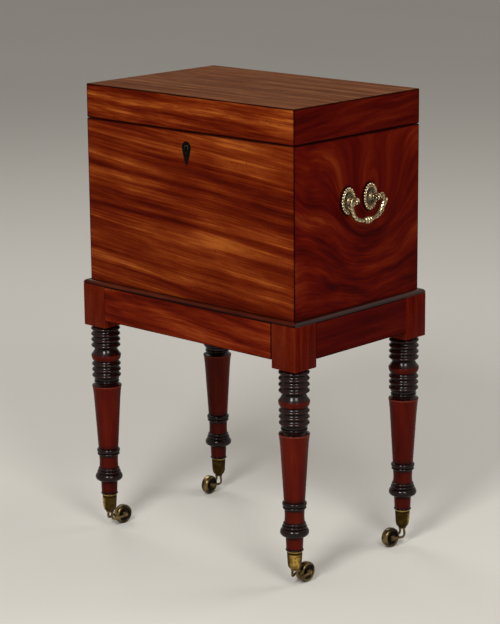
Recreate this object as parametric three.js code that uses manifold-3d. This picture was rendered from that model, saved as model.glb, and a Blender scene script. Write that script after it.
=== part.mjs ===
// Cellarette: a lidded wooden box for bottles, on a stand with four turned legs and brass castors.
// Millimetres, +Z up. The front faces -Y and the origin lies on the floor under the middle of the stand.

import * as THREE from 'three';
import { mergeVertices } from 'three/addons/utils/BufferGeometryUtils.js';
import Module from 'manifold-3d';

const wasm = await Module();
wasm.setup();

// Fits shared by all pieces
const joint_gap = 0.3;
const running_gap = 0.4;
const cut_overrun = 4;

// Box
const box_width = 457;
const box_depth = 300;
const box_height = 278.5;
const wall_thickness = 15;
const floor_thickness = 10;
const rim_arris = 1;

// Lid
const lid_height = 56;
const lid_seam = 0.6;
const lid_wall = 15;
const lid_board = 12;
const lid_arris = 0.8;

// Lining and bottle divisions
const lining_height = 215;
const lining_thickness = 2;
const divider_height = 150;
const divider_thickness = 8;
const cell_columns = 4;
const cell_rows = 3;

// Moulding that holds the foot of the box
const moulding_width = 9.8;
const moulding_height = 7.5;
const moulding_lip = 1.2;
const moulding_steps = 5;

// Stand
const block_size = 50;
const block_height = 71.8;
const rail_height = 58;
const rail_thickness = 22;
const tenon_length = 14;
const tenon_thickness = 9;
const tenon_height = 36;

// Leg turning, from the block down to the castor
const leg_segments = 12;
const turning_embed = 6;
const neck_radius = 20.4;
const neck_drop = 0.3;
const reed_radius = 24.6;
const reed_groove = 20.9;
const reed_pitch = 9.8;
const reed_crest_share = 0.58;
const upper_reeds = 4;
const lower_reeds = 3;
const throat_radius = 18.7;
const throat_drop = 1.7;
const vase_radius = 25;
const vase_drop = 21;
const vase_shoulder_share = 0.52;
const vase_steps = 3;
const waist_radius = 17.9;
const waist_drop = 4.4;
const waist_bead_radius = 21.3;
const waist_bead_drop = 4;
const collar_root_radius = 18.7;
const collar_radius = 25;
const collar_drop = 5.5;
const collar_lip = 2.4;
const shaft_top_radius = 24.6;
const shaft_shoulder_radius = 22.7;
const shaft_shoulder_share = 0.14;
const shaft_foot_radius = 16.9;
const shaft_drop = 109;
const bead_radius = 19.6;
const bead_drop = 8;
const small_bead_radius = 19;
const small_bead_drop = 5.2;
const stem_radius = 16.2;
const stem_drop = 21.4;
const ring_radius = 18.2;
const ring_drop = 4.8;
const lower_ring_radius = 20;
const lower_ring_drop = 4.7;
const torus_radius = 23.2;
const torus_drop = 13.4;
const torus_steps = 4;
const band_crest_share = 0.52;
const ankle_radius = 14.3;
const foot_radius = 13.3;
const foot_drop = 24.3;
const astragal_radius = 14.5;
const astragal_drop = 2.6;

// Castor cup
const cup_height = 31;
const cup_top_radius = 12.6;
const cup_waist_radius = 11.3;
const cup_foot_radius = 6.8;
const cup_wall = 1.8;
const cup_floor = 3;
const cup_round_share = 0.34;
const cup_segments = 12;

// Castor horn, pintle and axle
const pintle_radius = 3;
const pintle_head_radius = 4.6;
const pintle_head_height = 1.6;
const boss_radius = 6.6;
const boss_height = 3;
const arm_thickness = 2.2;
const arm_depth = 4.6;
const arm_spread = 4.8;
const arm_knee_height = 13.6;
const eye_radius = 4.6;
const axle_radius = 2;
const rivet_radius = 3.2;
const rivet_height = 0.9;
const castor_trail = 28;
const pin_segments = 8;
const arm_shares = [
  [0.04, 0, 1],
  [0, 0.05, 0.45],
  [0.06, 0.3, 0.08],
  [0.26, 0.72, 0],
  [0.48, 1, 0.08],
];

// Castor wheel
const wheel_radius = 16.25;
const wheel_width = 13;
const wheel_hub_radius = 5;
const wheel_hub_width = 15;
const wheel_rim = 3;
const wheel_dish = 2.2;
const wheel_segments = 14;
const floor_clearance = 29;

// Directions in which the four castors trail, in degrees from +X
const castor_turns = { front_left: 86, front_right: 92, back_right: 264, back_left: 276 };

// Escutcheon and keyhole
const escutcheon_drop = 16;
const escutcheon_radius = 9.8;
const escutcheon_height = 40;
const escutcheon_thickness = 2;
const escutcheon_proud = 0.3;
const escutcheon_flank_share = 0.6;
const escutcheon_taper_share = 0.62;
const outline_steps = 6;
const keyhole_steps = 10;
const keyhole_drop = 25.5;
const keyhole_radius = 3.2;
const keyhole_slot = 2.6;
const keyhole_length = 10.4;

// Lock case, bolt and link plate
const lock_width = 66;
const lock_height = 44;
const lock_case_width = 62;
const lock_case_wall = 1.3;
const lock_pocket = 7.6;
const selvedge_width = 11.6;
const selvedge_thickness = 2;
const bolt_thickness = 7;
const bolt_height = 5.6;
const bolt_length = 48;
const bolt_start = 27.5;
const bolt_level = 14.2;
const bolt_throw = 7;
const finger_thickness = 3.2;
const finger_height = 3.2;
const finger_length = 7;
const finger_root = 3;
const finger_clear = 1;
const key_sweep = 8;
const talon_width = 6;
const talon_depth = 2.4;
const link_spacing = 28;
const link_thickness = 3;
const link_width = 6.6;
const link_drop = 11;
const link_eye_width = 4.2;
const link_eye_height = 5;
const link_eye_floor = 1.8;
const plate_length = 58;
const plate_thickness = 1.8;

// Butt hinges
const hinge_inset = 90;
const hinge_length = 60;
const leaf_width = 12.5;
const leaf_thickness = 1.8;
const knuckle_radius = 4;
const knuckle_out = 2.5;
const hinge_pin_radius = 1.6;
const hinge_head_radius = 3;
const hinge_head_height = 0.8;
const hinge_segments = 10;

// Carrying handles
const handle_drop = 157;
const post_spacing = 53;
const rosette_width = 33;
const rosette_height = 44;
const rosette_thickness = 2.4;
const rosette_rim = 2.6;
const rosette_crown = 2.2;
const rosette_well_share = 0.6;
const rosette_segments = 18;
const post_shank_radius = 3.2;
const post_shank_depth = 10;
const post_flange_radius = 5.4;
const post_flange_height = 1.8;
const post_neck_radius = 3;
const post_head_radius = 5.6;
const post_reach = 19;
const post_segments = 10;
const ball_steps = 5;
const flange_top_share = 0.85;
const bail_pin_radius = 2.2;
const bail_half_span = 38.4;
const bail_drop = 32;
const bail_radius = 4.6;
const bail_sides = 8;
const leaf_tip_reach = 8.6;

// Levels
const stand_top = floor_clearance + cup_height + turnedDrop() + block_height;
const stand_width = box_width + 2 * moulding_width;
const stand_depth = box_depth + 2 * moulding_width;
const box_base = stand_top + joint_gap;
const box_rim = stand_top + box_height;
const lid_base = box_rim + lid_seam;
const lid_top = lid_base + lid_height;
const inner_width = box_width - 2 * wall_thickness;
const inner_depth = box_depth - 2 * wall_thickness;

// Colours
const mahogany = new THREE.MeshStandardMaterial({ color: 0x6e2410, roughness: 0.35, metalness: 0 });
const mahogany_side = new THREE.MeshStandardMaterial({ color: 0x4a130b, roughness: 0.35, metalness: 0 });
const mahogany_top = new THREE.MeshStandardMaterial({ color: 0x6b4433, roughness: 0.4, metalness: 0 });
const mahogany_leg = new THREE.MeshStandardMaterial({ color: 0x41100b, roughness: 0.25, metalness: 0 });
const mahogany_edge = new THREE.MeshStandardMaterial({ color: 0x24100b, roughness: 0.4, metalness: 0 });
const plain_wood = new THREE.MeshStandardMaterial({ color: 0x7a4a2b, roughness: 0.7, metalness: 0 });
const lead_sheet = new THREE.MeshStandardMaterial({ color: 0x5d6064, roughness: 0.6, metalness: 0.7 });
const old_brass = new THREE.MeshStandardMaterial({ color: 0x9a7a35, roughness: 0.4, metalness: 1 });
const dark_brass = new THREE.MeshStandardMaterial({ color: 0x4a3a20, roughness: 0.5, metalness: 1 });
const ebony = new THREE.MeshStandardMaterial({ color: 0x0d0b0a, roughness: 0.4, metalness: 0 });

// A geometry without normals, with its shared points merged and its flat triangles dropped
function welded(geometry) {
  const bare = geometry.clone();
  bare.deleteAttribute('normal');
  bare.deleteAttribute('uv');
  const merged = mergeVertices(bare);
  const corners = merged.getIndex().array;
  const kept = [];
  for (let i = 0; i < corners.length; i += 3) {
    const [a, b, c] = [corners[i], corners[i + 1], corners[i + 2]];
    if (a !== b && b !== c && c !== a) {
      kept.push(a, b, c);
    }
  }
  merged.setIndex(kept);
  return merged;
}

function solid(geometry) {
  const mesh = welded(geometry);
  const vertProperties = Float32Array.from(mesh.getAttribute('position').array);
  const triVerts = Uint32Array.from(mesh.getIndex().array);
  return new wasm.Manifold(new wasm.Mesh({ numProp: 3, vertProperties, triVerts }));
}

function surface(manifold) {
  const { vertProperties, triVerts } = manifold.getMesh();
  const geometry = new THREE.BufferGeometry();
  geometry.setAttribute('position', new THREE.BufferAttribute(vertProperties, 3));
  geometry.setIndex(new THREE.BufferAttribute(triVerts, 1));
  geometry.computeVertexNormals();
  return geometry;
}

function cut(geometry, ...tools) {
  return surface(tools.reduce((body, tool) => body.subtract(solid(tool)), solid(geometry)));
}

function join(geometry, ...others) {
  return surface(others.reduce((body, other) => body.add(solid(other)), solid(geometry)));
}

// A box between two values on each axis
function slab([x0, x1], [y0, y1], [z0, z1]) {
  const box = new THREE.BoxGeometry(x1 - x0, y1 - y0, z1 - z0);
  return box.translate((x0 + x1) / 2, (y0 + y1) / 2, (z0 + z1) / 2);
}

// A cylinder along X, Y or Z, centred on the origin
function rod(radius, length, segments, axis) {
  const cylinder = new THREE.CylinderGeometry(radius, radius, length, segments);
  if (axis === 'x') {
    cylinder.rotateZ(-Math.PI / 2);
  }
  if (axis === 'z') {
    cylinder.rotateX(Math.PI / 2);
  }
  return cylinder;
}

// A hole of this radius keeps its gap to a round pin in it, though it has flat sides
function boreRadius(pin, gap, segments) {
  return (pin + gap) / Math.cos(Math.PI / segments);
}

// A turned solid about Z, from [radius, height] points that run upwards on the outside
function turned(points, segments) {
  const outline = points.map(([radius, height]) => new THREE.Vector2(radius, height));
  return welded(new THREE.LatheGeometry(outline, segments)).rotateX(Math.PI / 2);
}

// A straight board with the outline drawn in X and Z, centred on Y
function board(outline, thickness) {
  const shape = new THREE.Shape(outline.map(([x, z]) => new THREE.Vector2(x, z)));
  const extruded = new THREE.ExtrudeGeometry(shape, { depth: thickness, bevelEnabled: false });
  return extruded.rotateX(Math.PI / 2).translate(0, thickness / 2, 0);
}

// A solid through a row of stations. Each gives its centre and the half sizes of the section there.
function loft(stations, section, side) {
  const count = section.length;
  const points = [];
  stations.forEach(({ at, half }, i) => {
    const before = stations[Math.max(i - 1, 0)].at;
    const after = stations[Math.min(i + 1, stations.length - 1)].at;
    const along = after.clone().sub(before).normalize();
    const across = side.clone().cross(along).normalize();
    for (const [p, q] of section) {
      const point = at.clone();
      point.addScaledVector(across, p * half[0]);
      point.addScaledVector(side, q * half[1]);
      points.push(point);
    }
  });
  points.push(stations[0].at, stations[stations.length - 1].at);
  const faces = [];
  for (let k = 0; k < count; k++) {
    const next = (k + 1) % count;
    for (let i = 0; i < stations.length - 1; i++) {
      const [low, high] = [i * count, (i + 1) * count];
      faces.push(low + k, low + next, high + k);
      faces.push(low + next, high + next, high + k);
    }
    const last = (stations.length - 1) * count;
    faces.push(points.length - 2, next, k);
    faces.push(points.length - 1, last + k, last + next);
  }
  const geometry = new THREE.BufferGeometry().setFromPoints(points);
  geometry.setIndex(faces);
  return geometry;
}

const square_section = [[1, 1], [-1, 1], [-1, -1], [1, -1]];

function roundSection(sides) {
  return Array.from({ length: sides }, (_, k) => {
    const angle = (2 * k + 1) * Math.PI / sides;
    return [Math.cos(angle), Math.sin(angle)];
  });
}

// One side of a mitred frame, along X, with its outer face on Y = 0.
// The profile's points give the distance in from the outer face and the height.
function mitredBar(profile, length) {
  const shape = new THREE.Shape(profile.map(([inward, height]) => new THREE.Vector2(inward, height)));
  const bar = new THREE.ExtrudeGeometry(shape, { depth: length, bevelEnabled: false });
  const position = bar.getAttribute('position');
  for (let i = 0; i < position.count; i++) {
    const inward = position.getX(i);
    const height = position.getY(i);
    const end = Math.sign(position.getZ(i) - length / 2);
    position.setXYZ(i, end * (length / 2 - inward - joint_gap / Math.SQRT2), inward, height);
  }
  return bar;
}

// The same bar on the front, right, back or left of a frame
function frameBar(quarter, profile, width, depth, base) {
  const [along, across] = quarter % 2 ? [depth, width] : [width, depth];
  return mitredBar(profile, along).translate(0, -across / 2, base).rotateZ(quarter * Math.PI / 2);
}

const quarters = ['front', 'right', 'back', 'left'];
const cellarette = new THREE.Group();

function add(name, geometry, material, parent = cellarette) {
  const mesh = new THREE.Mesh(geometry, material);
  mesh.name = name;
  parent.add(mesh);
}

// Leg turning

function turnedDrop() {
  const reeding = (upper_reeds + lower_reeds) * reed_pitch;
  const upper = neck_drop + throat_drop + vase_drop;
  const collar = waist_drop + waist_bead_drop + collar_drop + collar_lip;
  const beads = bead_drop + small_bead_drop;
  const lower = stem_drop + ring_drop + lower_ring_drop + torus_drop + foot_drop;
  return reeding + upper + collar + shaft_drop + beads + lower;
}

// Reeds that are fullest below their middle
function reeds(top, count) {
  return Array.from({ length: count }, (_, k) => {
    const head = top - k * reed_pitch;
    return [
      [reed_groove, head],
      [reed_radius, head - reed_pitch * reed_crest_share],
    ];
  }).flat();
}

// The crest of a bead or ring that stands between two grooves
function band(top, drop, radius) {
  const shoulder = drop * (1 - band_crest_share) / 2;
  return [
    [radius, top - shoulder],
    [radius, top - drop + shoulder],
  ];
}

// Half a round between two roots, bulging from one radius to another
function roundMoulding(top, drop, root, crest, steps) {
  return Array.from({ length: steps + 1 }, (_, k) => {
    const angle = k / steps * Math.PI;
    return [root + (crest - root) * Math.sin(angle), top - drop * (1 - Math.cos(angle)) / 2];
  });
}

// A flare that widens downwards and rounds in under its widest line to the reeds below
function vase(top) {
  const widest = top - vase_drop * vase_shoulder_share;
  const under = vase_drop * (1 - vase_shoulder_share);
  const round = Array.from({ length: vase_steps }, (_, k) => {
    const angle = k / vase_steps * Math.PI / 2;
    const radius = reed_groove + (vase_radius - reed_groove) * Math.cos(angle);
    return [radius, widest - under * Math.sin(angle)];
  });
  return [[throat_radius, top], ...round];
}

function legOutline() {
  const block_foot = stand_top - block_height;
  const throat = block_foot - neck_drop - upper_reeds * reed_pitch;
  const vase_top = throat - throat_drop;
  const second_reeds = vase_top - vase_drop;
  const waist = second_reeds - lower_reeds * reed_pitch;
  const waist_bead = waist - waist_drop;
  const collar = waist_bead - waist_bead_drop;
  const lip = collar - collar_drop;
  const shaft_top = lip - collar_lip;
  const bead_top = shaft_top - shaft_drop;
  const small_bead_top = bead_top - bead_drop;
  const stem_top = small_bead_top - small_bead_drop;
  const ring_top = stem_top - stem_drop;
  const lower_ring_top = ring_top - ring_drop;
  const torus_top = lower_ring_top - lower_ring_drop;
  const ankle = torus_top - torus_drop;
  const foot = ankle - foot_drop;
  return [
    [0, block_foot + turning_embed],
    [neck_radius, block_foot + turning_embed],
    ...reeds(block_foot - neck_drop, upper_reeds),
    [reed_groove, throat],
    ...vase(vase_top),
    ...reeds(second_reeds, lower_reeds),
    [waist_radius, waist],
    [waist_radius, waist_bead],
    ...band(waist_bead, waist_bead_drop, waist_bead_radius),
    [collar_root_radius, collar],
    [(collar_root_radius + collar_radius) / 2, lip + collar_drop / 3],
    [collar_radius, lip],
    [collar_radius, shaft_top],
    [shaft_top_radius, shaft_top],
    [shaft_shoulder_radius, shaft_top - shaft_drop * shaft_shoulder_share],
    [shaft_foot_radius, bead_top],
    ...band(bead_top, bead_drop, bead_radius),
    [shaft_foot_radius, small_bead_top],
    ...band(small_bead_top, small_bead_drop, small_bead_radius),
    [stem_radius, stem_top],
    [stem_radius, ring_top],
    ...band(ring_top, ring_drop, ring_radius),
    ...band(lower_ring_top, lower_ring_drop, lower_ring_radius),
    ...roundMoulding(torus_top, torus_drop, ankle_radius, torus_radius, torus_steps).slice(1),
    [foot_radius, foot + astragal_drop],
    [astragal_radius, foot + astragal_drop / 2],
    [foot_radius, foot],
    ...spigot(foot),
  ];
}

// The part of the leg inside the cup, hollowed for the head of the pintle
function spigot(foot) {
  const base = foot - cup_height + cup_floor + joint_gap;
  const well = pintle_head_radius + running_gap;
  const well_top = base + pintle_head_height + 2 * running_gap;
  return [
    [cup_top_radius - cup_wall - joint_gap, foot + joint_gap],
    [cupInner(base) - joint_gap, base],
    [well / Math.cos(Math.PI / leg_segments), base],
    [well / Math.cos(Math.PI / leg_segments), well_top],
    [0, well_top],
  ];
}

function cupInner(height) {
  const share = (height - floor_clearance) / cup_height;
  return cup_waist_radius + (cup_top_radius - cup_waist_radius) * share - cup_wall;
}

function leg(sx, sy) {
  const [x, y] = [sx * (stand_width - block_size) / 2, sy * (stand_depth - block_size) / 2];
  const half = block_size / 2;
  const block = slab([-half, half], [-half, half], [stand_top - block_height, stand_top]);
  const shape = join(block, turned(legOutline().reverse(), leg_segments)).translate(x, y, 0);
  return cut(shape, mortise(sx, sy, false), mortise(sx, sy, true));
}

// Rails and their tenons

const tenon_level = stand_top - rail_height / 2;

function tenonBox(length, spare) {
  const [half, tall] = [tenon_thickness / 2 + spare, tenon_height / 2 + spare];
  return slab([-length, length], [-half, half], [tenon_level - tall, tenon_level + tall]);
}

function mortise(sx, sy, turn) {
  const [along, across, s, t] = turn ? [stand_depth, stand_width, sy, sx] : [stand_width, stand_depth, sx, sy];
  const depth = tenon_length + joint_gap;
  const hole = tenonBox(depth, joint_gap);
  const [u, v] = [s * (along / 2 - block_size), t * (across - rail_thickness) / 2];
  return turn ? hole.rotateZ(Math.PI / 2).translate(v, u, 0) : hole.translate(u, v, 0);
}

function rail(quarter) {
  const [along, across] = quarter % 2 ? [stand_depth, stand_width] : [stand_width, stand_depth];
  const half = along / 2 - block_size - joint_gap;
  const thick = rail_thickness / 2;
  const body = slab([-half, half], [-thick, thick], [stand_top - rail_height, stand_top]);
  const tongue = tenonBox(half + tenon_length, 0);
  return join(body, tongue).translate(0, (rail_thickness - across) / 2, 0).rotateZ(quarter * Math.PI / 2);
}

// Quarter-round moulding, rising from the stand's edge to the box

function mouldingProfile() {
  const [width, height] = [moulding_width - joint_gap, moulding_height];
  const curve = Array.from({ length: moulding_steps + 1 }, (_, k) => {
    const angle = Math.PI - k / moulding_steps * Math.PI / 2;
    return [width + width * Math.cos(angle), moulding_lip + (height - moulding_lip) * Math.sin(angle)];
  });
  return [[0, joint_gap], [width, joint_gap], ...curve.reverse()];
}

for (const [sx, side] of [[-1, 'left'], [1, 'right']]) {
  for (const [sy, end] of [[-1, 'front'], [1, 'back']]) {
    add(`leg_${end}_${side}`, leg(sx, sy), mahogany_leg);
  }
}
quarters.forEach((name, quarter) => {
  add(`rail_${name}`, rail(quarter), mahogany_leg);
  const bar = frameBar(quarter, mouldingProfile(), stand_width, stand_depth, stand_top);
  add(`moulding_${name}`, bar, mahogany_edge);
});

// Castors: a fixed cup on the leg, a horn that swivels under it and a wheel on the horn's axle

function castorCup() {
  const [foot, top] = [floor_clearance, floor_clearance + cup_height];
  const bore = boreRadius(pintle_radius, running_gap, cup_segments);
  const floor = foot + cup_floor;
  const belly = foot + cup_height * cup_round_share;
  const round = Array.from({ length: 4 }, (_, k) => {
    const angle = k / 3 * Math.PI / 2;
    const radius = cup_foot_radius + (cup_waist_radius - cup_foot_radius) * Math.sin(angle);
    return [radius, belly - (belly - foot) * Math.cos(angle)];
  });
  return [
    [bore, foot],
    ...round,
    [cup_top_radius, top],
    [cup_top_radius - cup_wall, top],
    [cupInner(floor), floor],
    [bore, floor],
    [bore, foot],
  ];
}

const axle_span = wheel_hub_width / 2 + running_gap;

// One arm drops from the boss to a knee and sweeps back and outwards to the axle.
// The shares are of the trail, of the spread and of the height over the knee.
function hornArm(sign) {
  const wide = axle_span + arm_thickness / 2 - arm_spread;
  const high = floor_clearance - joint_gap - boss_height / 2 - arm_knee_height;
  const bend = arm_shares.map(([back, out, up]) => {
    return [castor_trail * back, arm_spread + wide * out, arm_knee_height + high * up];
  });
  const stations = [...bend, [castor_trail, arm_spread + wide, wheel_radius]].map(([x, y, z]) => ({
    at: new THREE.Vector3(x, sign * y, z),
    half: [arm_depth / 2, arm_thickness / 2],
  }));
  return loft(stations, square_section, new THREE.Vector3(0, 1, 0));
}

// The round end of an arm with the axle's riveted head on it
function hornEye(sign) {
  const eye = turned([
    [0, 0],
    [eye_radius, 0],
    [eye_radius, arm_thickness],
    [rivet_radius, arm_thickness],
    [axle_radius, arm_thickness + rivet_height],
    [0, arm_thickness + rivet_height],
  ], pin_segments);
  return eye.rotateX(-sign * Math.PI / 2).translate(castor_trail, sign * axle_span, wheel_radius);
}

function horn() {
  const top = floor_clearance - joint_gap;
  const head = floor_clearance + cup_floor + running_gap;
  const stem = turned([
    [0, top - boss_height],
    [boss_radius, top - boss_height],
    [boss_radius, top],
    [pintle_radius, top],
    [pintle_radius, head],
    [pintle_head_radius, head],
    [pintle_head_radius, head + pintle_head_height],
    [0, head + pintle_head_height],
  ], pin_segments);
  const axle = rod(axle_radius, 2 * axle_span + arm_thickness, pin_segments, 'y');
  axle.translate(castor_trail, 0, wheel_radius);
  return join(stem, hornArm(-1), hornArm(1), hornEye(-1), hornEye(1), axle);
}

// A wheel with a rounded tread, dished faces and a long hub, standing on a flat of its tread
function wheel() {
  const tread = wheel_radius / Math.cos(Math.PI / wheel_segments);
  const [half, hub] = [wheel_width / 2, wheel_hub_width / 2];
  const bore = boreRadius(axle_radius, running_gap, wheel_segments);
  const face = half - wheel_dish;
  const side = [
    [tread, half / 3],
    [tread - wheel_rim / 2, half],
    [tread - wheel_rim, half],
    [wheel_hub_radius, face],
    [wheel_hub_radius, hub],
    [bore, hub],
  ];
  const other = side.map(([radius, y]) => [radius, -y]).reverse();
  const shape = turned([...other, ...side, other[0]], wheel_segments);
  shape.rotateZ(Math.PI / wheel_segments).rotateX(Math.PI / 2);
  return shape.translate(castor_trail, 0, wheel_radius);
}

for (const [sx, side] of [[-1, 'left'], [1, 'right']]) {
  for (const [sy, end] of [[-1, 'front'], [1, 'back']]) {
    const castor = new THREE.Group();
    castor.position.set(sx * (stand_width - block_size) / 2, sy * (stand_depth - block_size) / 2, 0);
    castor.rotation.z = castor_turns[`${end}_${side}`] * Math.PI / 180;
    add(`castor_cup_${end}_${side}`, turned(castorCup(), cup_segments), old_brass, castor);
    add(`castor_horn_${end}_${side}`, horn(), dark_brass, castor);
    add(`castor_wheel_${end}_${side}`, wheel(), dark_brass, castor);
    cellarette.add(castor);
  }
}

// Box walls

const lock_face = -inner_depth / 2;
const lock_middle = lock_face - lock_case_wall - lock_pocket / 2;
const escutcheon_middle = box_rim - escutcheon_drop - escutcheon_radius;

function wallProfile() {
  const height = box_height - joint_gap;
  return [
    [0, 0],
    [wall_thickness, 0],
    [wall_thickness, height],
    [rim_arris, height],
    [0, height - rim_arris],
  ];
}

// A drop shape, round above and pointed below, grown all round by the spare
function escutcheonShape(spare) {
  const radius = escutcheon_radius + spare;
  const tip = escutcheon_radius - escutcheon_height - spare;
  const [flank, taper] = [radius * escutcheon_flank_share, tip * escutcheon_taper_share];
  const shape = new THREE.Shape();
  shape.moveTo(0, tip);
  shape.quadraticCurveTo(flank, taper, radius, 0);
  shape.absarc(0, 0, radius, 0, Math.PI, false);
  shape.quadraticCurveTo(-flank, taper, 0, tip);
  return shape;
}

function keyholePath(shape) {
  const turn = Math.asin(keyhole_slot / 2 / keyhole_radius);
  const middle = escutcheon_drop + escutcheon_radius - keyhole_drop;
  shape.moveTo(keyhole_slot / 2, middle - keyhole_length);
  for (let k = 0; k <= keyhole_steps; k++) {
    const angle = turn - Math.PI / 2 + k / keyhole_steps * 2 * (Math.PI - turn);
    shape.lineTo(keyhole_radius * Math.cos(angle), middle + keyhole_radius * Math.sin(angle));
  }
  shape.lineTo(-keyhole_slot / 2, middle - keyhole_length);
  shape.closePath();
  return shape;
}

// An outline drawn in X and Z round the escutcheon's middle, from the front face inwards
function inset(shape, out, depth) {
  const settings = { depth: out + depth, bevelEnabled: false, curveSegments: outline_steps };
  const extruded = new THREE.ExtrudeGeometry(shape, settings).rotateX(Math.PI / 2);
  return extruded.translate(0, depth - box_depth / 2, escutcheon_middle);
}

function lockRecess() {
  const [case_half, half] = [lock_case_width / 2 + joint_gap, lock_width / 2 + joint_gap];
  const back = lock_middle - lock_pocket / 2 - lock_case_wall - joint_gap;
  const selvedge_back = lock_face - selvedge_width - joint_gap;
  const inside = lock_face + cut_overrun;
  const over = box_rim + cut_overrun;
  return [
    slab([-case_half, case_half], [back, inside], [box_rim - lock_height - joint_gap, over]),
    slab([-half, half], [selvedge_back, inside], [box_rim - selvedge_thickness - joint_gap, over]),
  ];
}

function frontWall() {
  const wall = frameBar(0, wallProfile(), box_width, box_depth, box_base);
  const seat = inset(escutcheonShape(joint_gap), cut_overrun, escutcheon_thickness + joint_gap);
  const keyhole = inset(keyholePath(new THREE.Shape()), cut_overrun, wall_thickness + cut_overrun);
  return cut(wall, seat, keyhole, ...lockRecess());
}

function sideWall(quarter) {
  const wall = frameBar(quarter, wallProfile(), box_width, box_depth, box_base);
  const bore = boreRadius(post_shank_radius, joint_gap, post_segments);
  const reach = post_shank_depth + joint_gap;
  const sign = quarter === 1 ? 1 : -1;
  const holes = [-1, 1].map((end) => {
    const hole = rod(bore, 2 * reach, post_segments, 'x');
    return hole.translate(sign * box_width / 2, end * post_spacing / 2, lid_top - handle_drop);
  });
  return cut(wall, ...holes);
}

// Seats for the leaves and knuckles, let into the edge below the joint (-1) or above it (1)
function hingeSeats(sign) {
  const level = (box_rim + lid_base) / 2;
  const leaf_reach = sign * (lid_seam / 2 + leaf_thickness + joint_gap);
  const half = hinge_length / 2 + joint_gap;
  const barrel_half = half + hinge_head_height + joint_gap;
  const barrel = knuckle_radius + running_gap;
  return [-1, 1].flatMap((end) => {
    const x = end * (box_width / 2 - hinge_inset);
    const leaf_z = [leaf_reach, -sign * cut_overrun].sort((a, b) => a - b);
    const leaf = slab([-half, half], [-leaf_width - joint_gap, cut_overrun], leaf_z);
    const knuckle = slab([-barrel_half, barrel_half], [-barrel, cut_overrun], [-barrel, barrel]);
    return [leaf, knuckle].map((tool) => tool.translate(x, box_depth / 2 + knuckle_out, level));
  });
}

function backWall() {
  return cut(frameBar(2, wallProfile(), box_width, box_depth, box_base), ...hingeSeats(-1));
}

add('box_front', frontWall(), mahogany);
add('box_right', sideWall(1), mahogany_side);
add('box_back', backWall(), mahogany_side);
add('box_left', sideWall(3), mahogany_side);

const floor_half_width = inner_width / 2 - joint_gap;
const floor_half_depth = inner_depth / 2 - joint_gap;
add('box_floor', slab(
  [-floor_half_width, floor_half_width],
  [-floor_half_depth, floor_half_depth],
  [box_base, box_base + floor_thickness],
), plain_wood);

// Lead lining, an open tray inside the walls

const lining_base = box_base + floor_thickness + joint_gap;
const well_floor = lining_base + lining_thickness;
const well_half_width = floor_half_width - lining_thickness;
const well_half_depth = floor_half_depth - lining_thickness;
add('lead_lining', cut(
  slab([-floor_half_width, floor_half_width], [-floor_half_depth, floor_half_depth],
    [lining_base, lining_base + lining_height]),
  slab([-well_half_width, well_half_width], [-well_half_depth, well_half_depth],
    [well_floor, lining_base + lining_height + cut_overrun]),
), lead_sheet);

// Bottle divisions, halved into each other where they cross

const column_pitch = 2 * well_half_width / cell_columns;
const row_pitch = 2 * well_half_depth / cell_rows;

function crossings(count, pitch) {
  return Array.from({ length: count - 1 }, (_, k) => (k + 1 - count / 2) * pitch);
}

function halvedBoard(half_length, centres, from_top) {
  const half_slot = divider_thickness / 2 + joint_gap;
  const depth = (divider_height + joint_gap) / 2;
  const [edge, level] = from_top ? [divider_height, divider_height - depth] : [0, depth];
  const slots = centres.flatMap((x) => [
    [x - half_slot, edge],
    [x - half_slot, level],
    [x + half_slot, level],
    [x + half_slot, edge],
  ]);
  const foot = [[-half_length, 0], ...(from_top ? [] : slots), [half_length, 0]];
  const head = [[-half_length, divider_height], ...(from_top ? slots : []), [half_length, divider_height]];
  return board([...foot, ...head.reverse()], divider_thickness);
}

const columns = crossings(cell_columns, column_pitch);
const rows = crossings(cell_rows, row_pitch);
rows.forEach((y, k) => {
  const shape = halvedBoard(well_half_width - joint_gap, columns, true);
  add(`divider_long_${k + 1}`, shape.translate(0, y, well_floor + joint_gap), plain_wood);
});
columns.forEach((x, k) => {
  const shape = halvedBoard(well_half_depth - joint_gap, rows, false).rotateZ(Math.PI / 2);
  add(`divider_cross_${k + 1}`, shape.translate(x, 0, well_floor + joint_gap), plain_wood);
});

// Escutcheon, let into the front

const escutcheon = escutcheonShape(0);
escutcheon.holes.push(keyholePath(new THREE.Path()));
add('keyhole_escutcheon', inset(escutcheon, escutcheon_proud, escutcheon_thickness), ebony);

// Lock: a case let into the front, a bolt with two fingers and a link plate on the lid

const bolt_top = box_rim - bolt_level;
const finger_foot = box_rim - link_drop + link_eye_floor + (link_eye_height - finger_height) / 2;

function lockCase() {
  const [half, case_half] = [lock_width / 2, lock_case_width / 2];
  const back = lock_middle - lock_pocket / 2 - lock_case_wall;
  const shell = slab([-case_half, case_half], [back, lock_face], [box_rim - lock_height, box_rim]);
  const selvedge = slab([-half, half], [lock_face - selvedge_width, lock_face],
    [box_rim - selvedge_thickness, box_rim]);
  const pocket_half = case_half - lock_case_wall;
  const pocket_y = [lock_middle - lock_pocket / 2, lock_middle + lock_pocket / 2];
  const pocket = slab([-pocket_half, pocket_half], pocket_y,
    [bolt_top - bolt_height - joint_gap, box_rim - selvedge_thickness]);
  const slots = [-1, 1].map((end) => {
    const middle = end * link_spacing / 2;
    const slot_half = link_thickness / 2 + running_gap;
    return slab([middle - slot_half, middle + slot_half], pocket_y,
      [box_rim - selvedge_thickness - cut_overrun, box_rim + cut_overrun]);
  });
  const sweep = rod(key_sweep, lock_pocket, cup_segments, 'y');
  sweep.translate(0, lock_middle, box_rim - keyhole_drop);
  const keyway = inset(keyholePath(new THREE.Shape()), 0, box_depth / 2 + lock_middle);
  return cut(join(shell, selvedge), pocket, ...slots, sweep, keyway);
}

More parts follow.
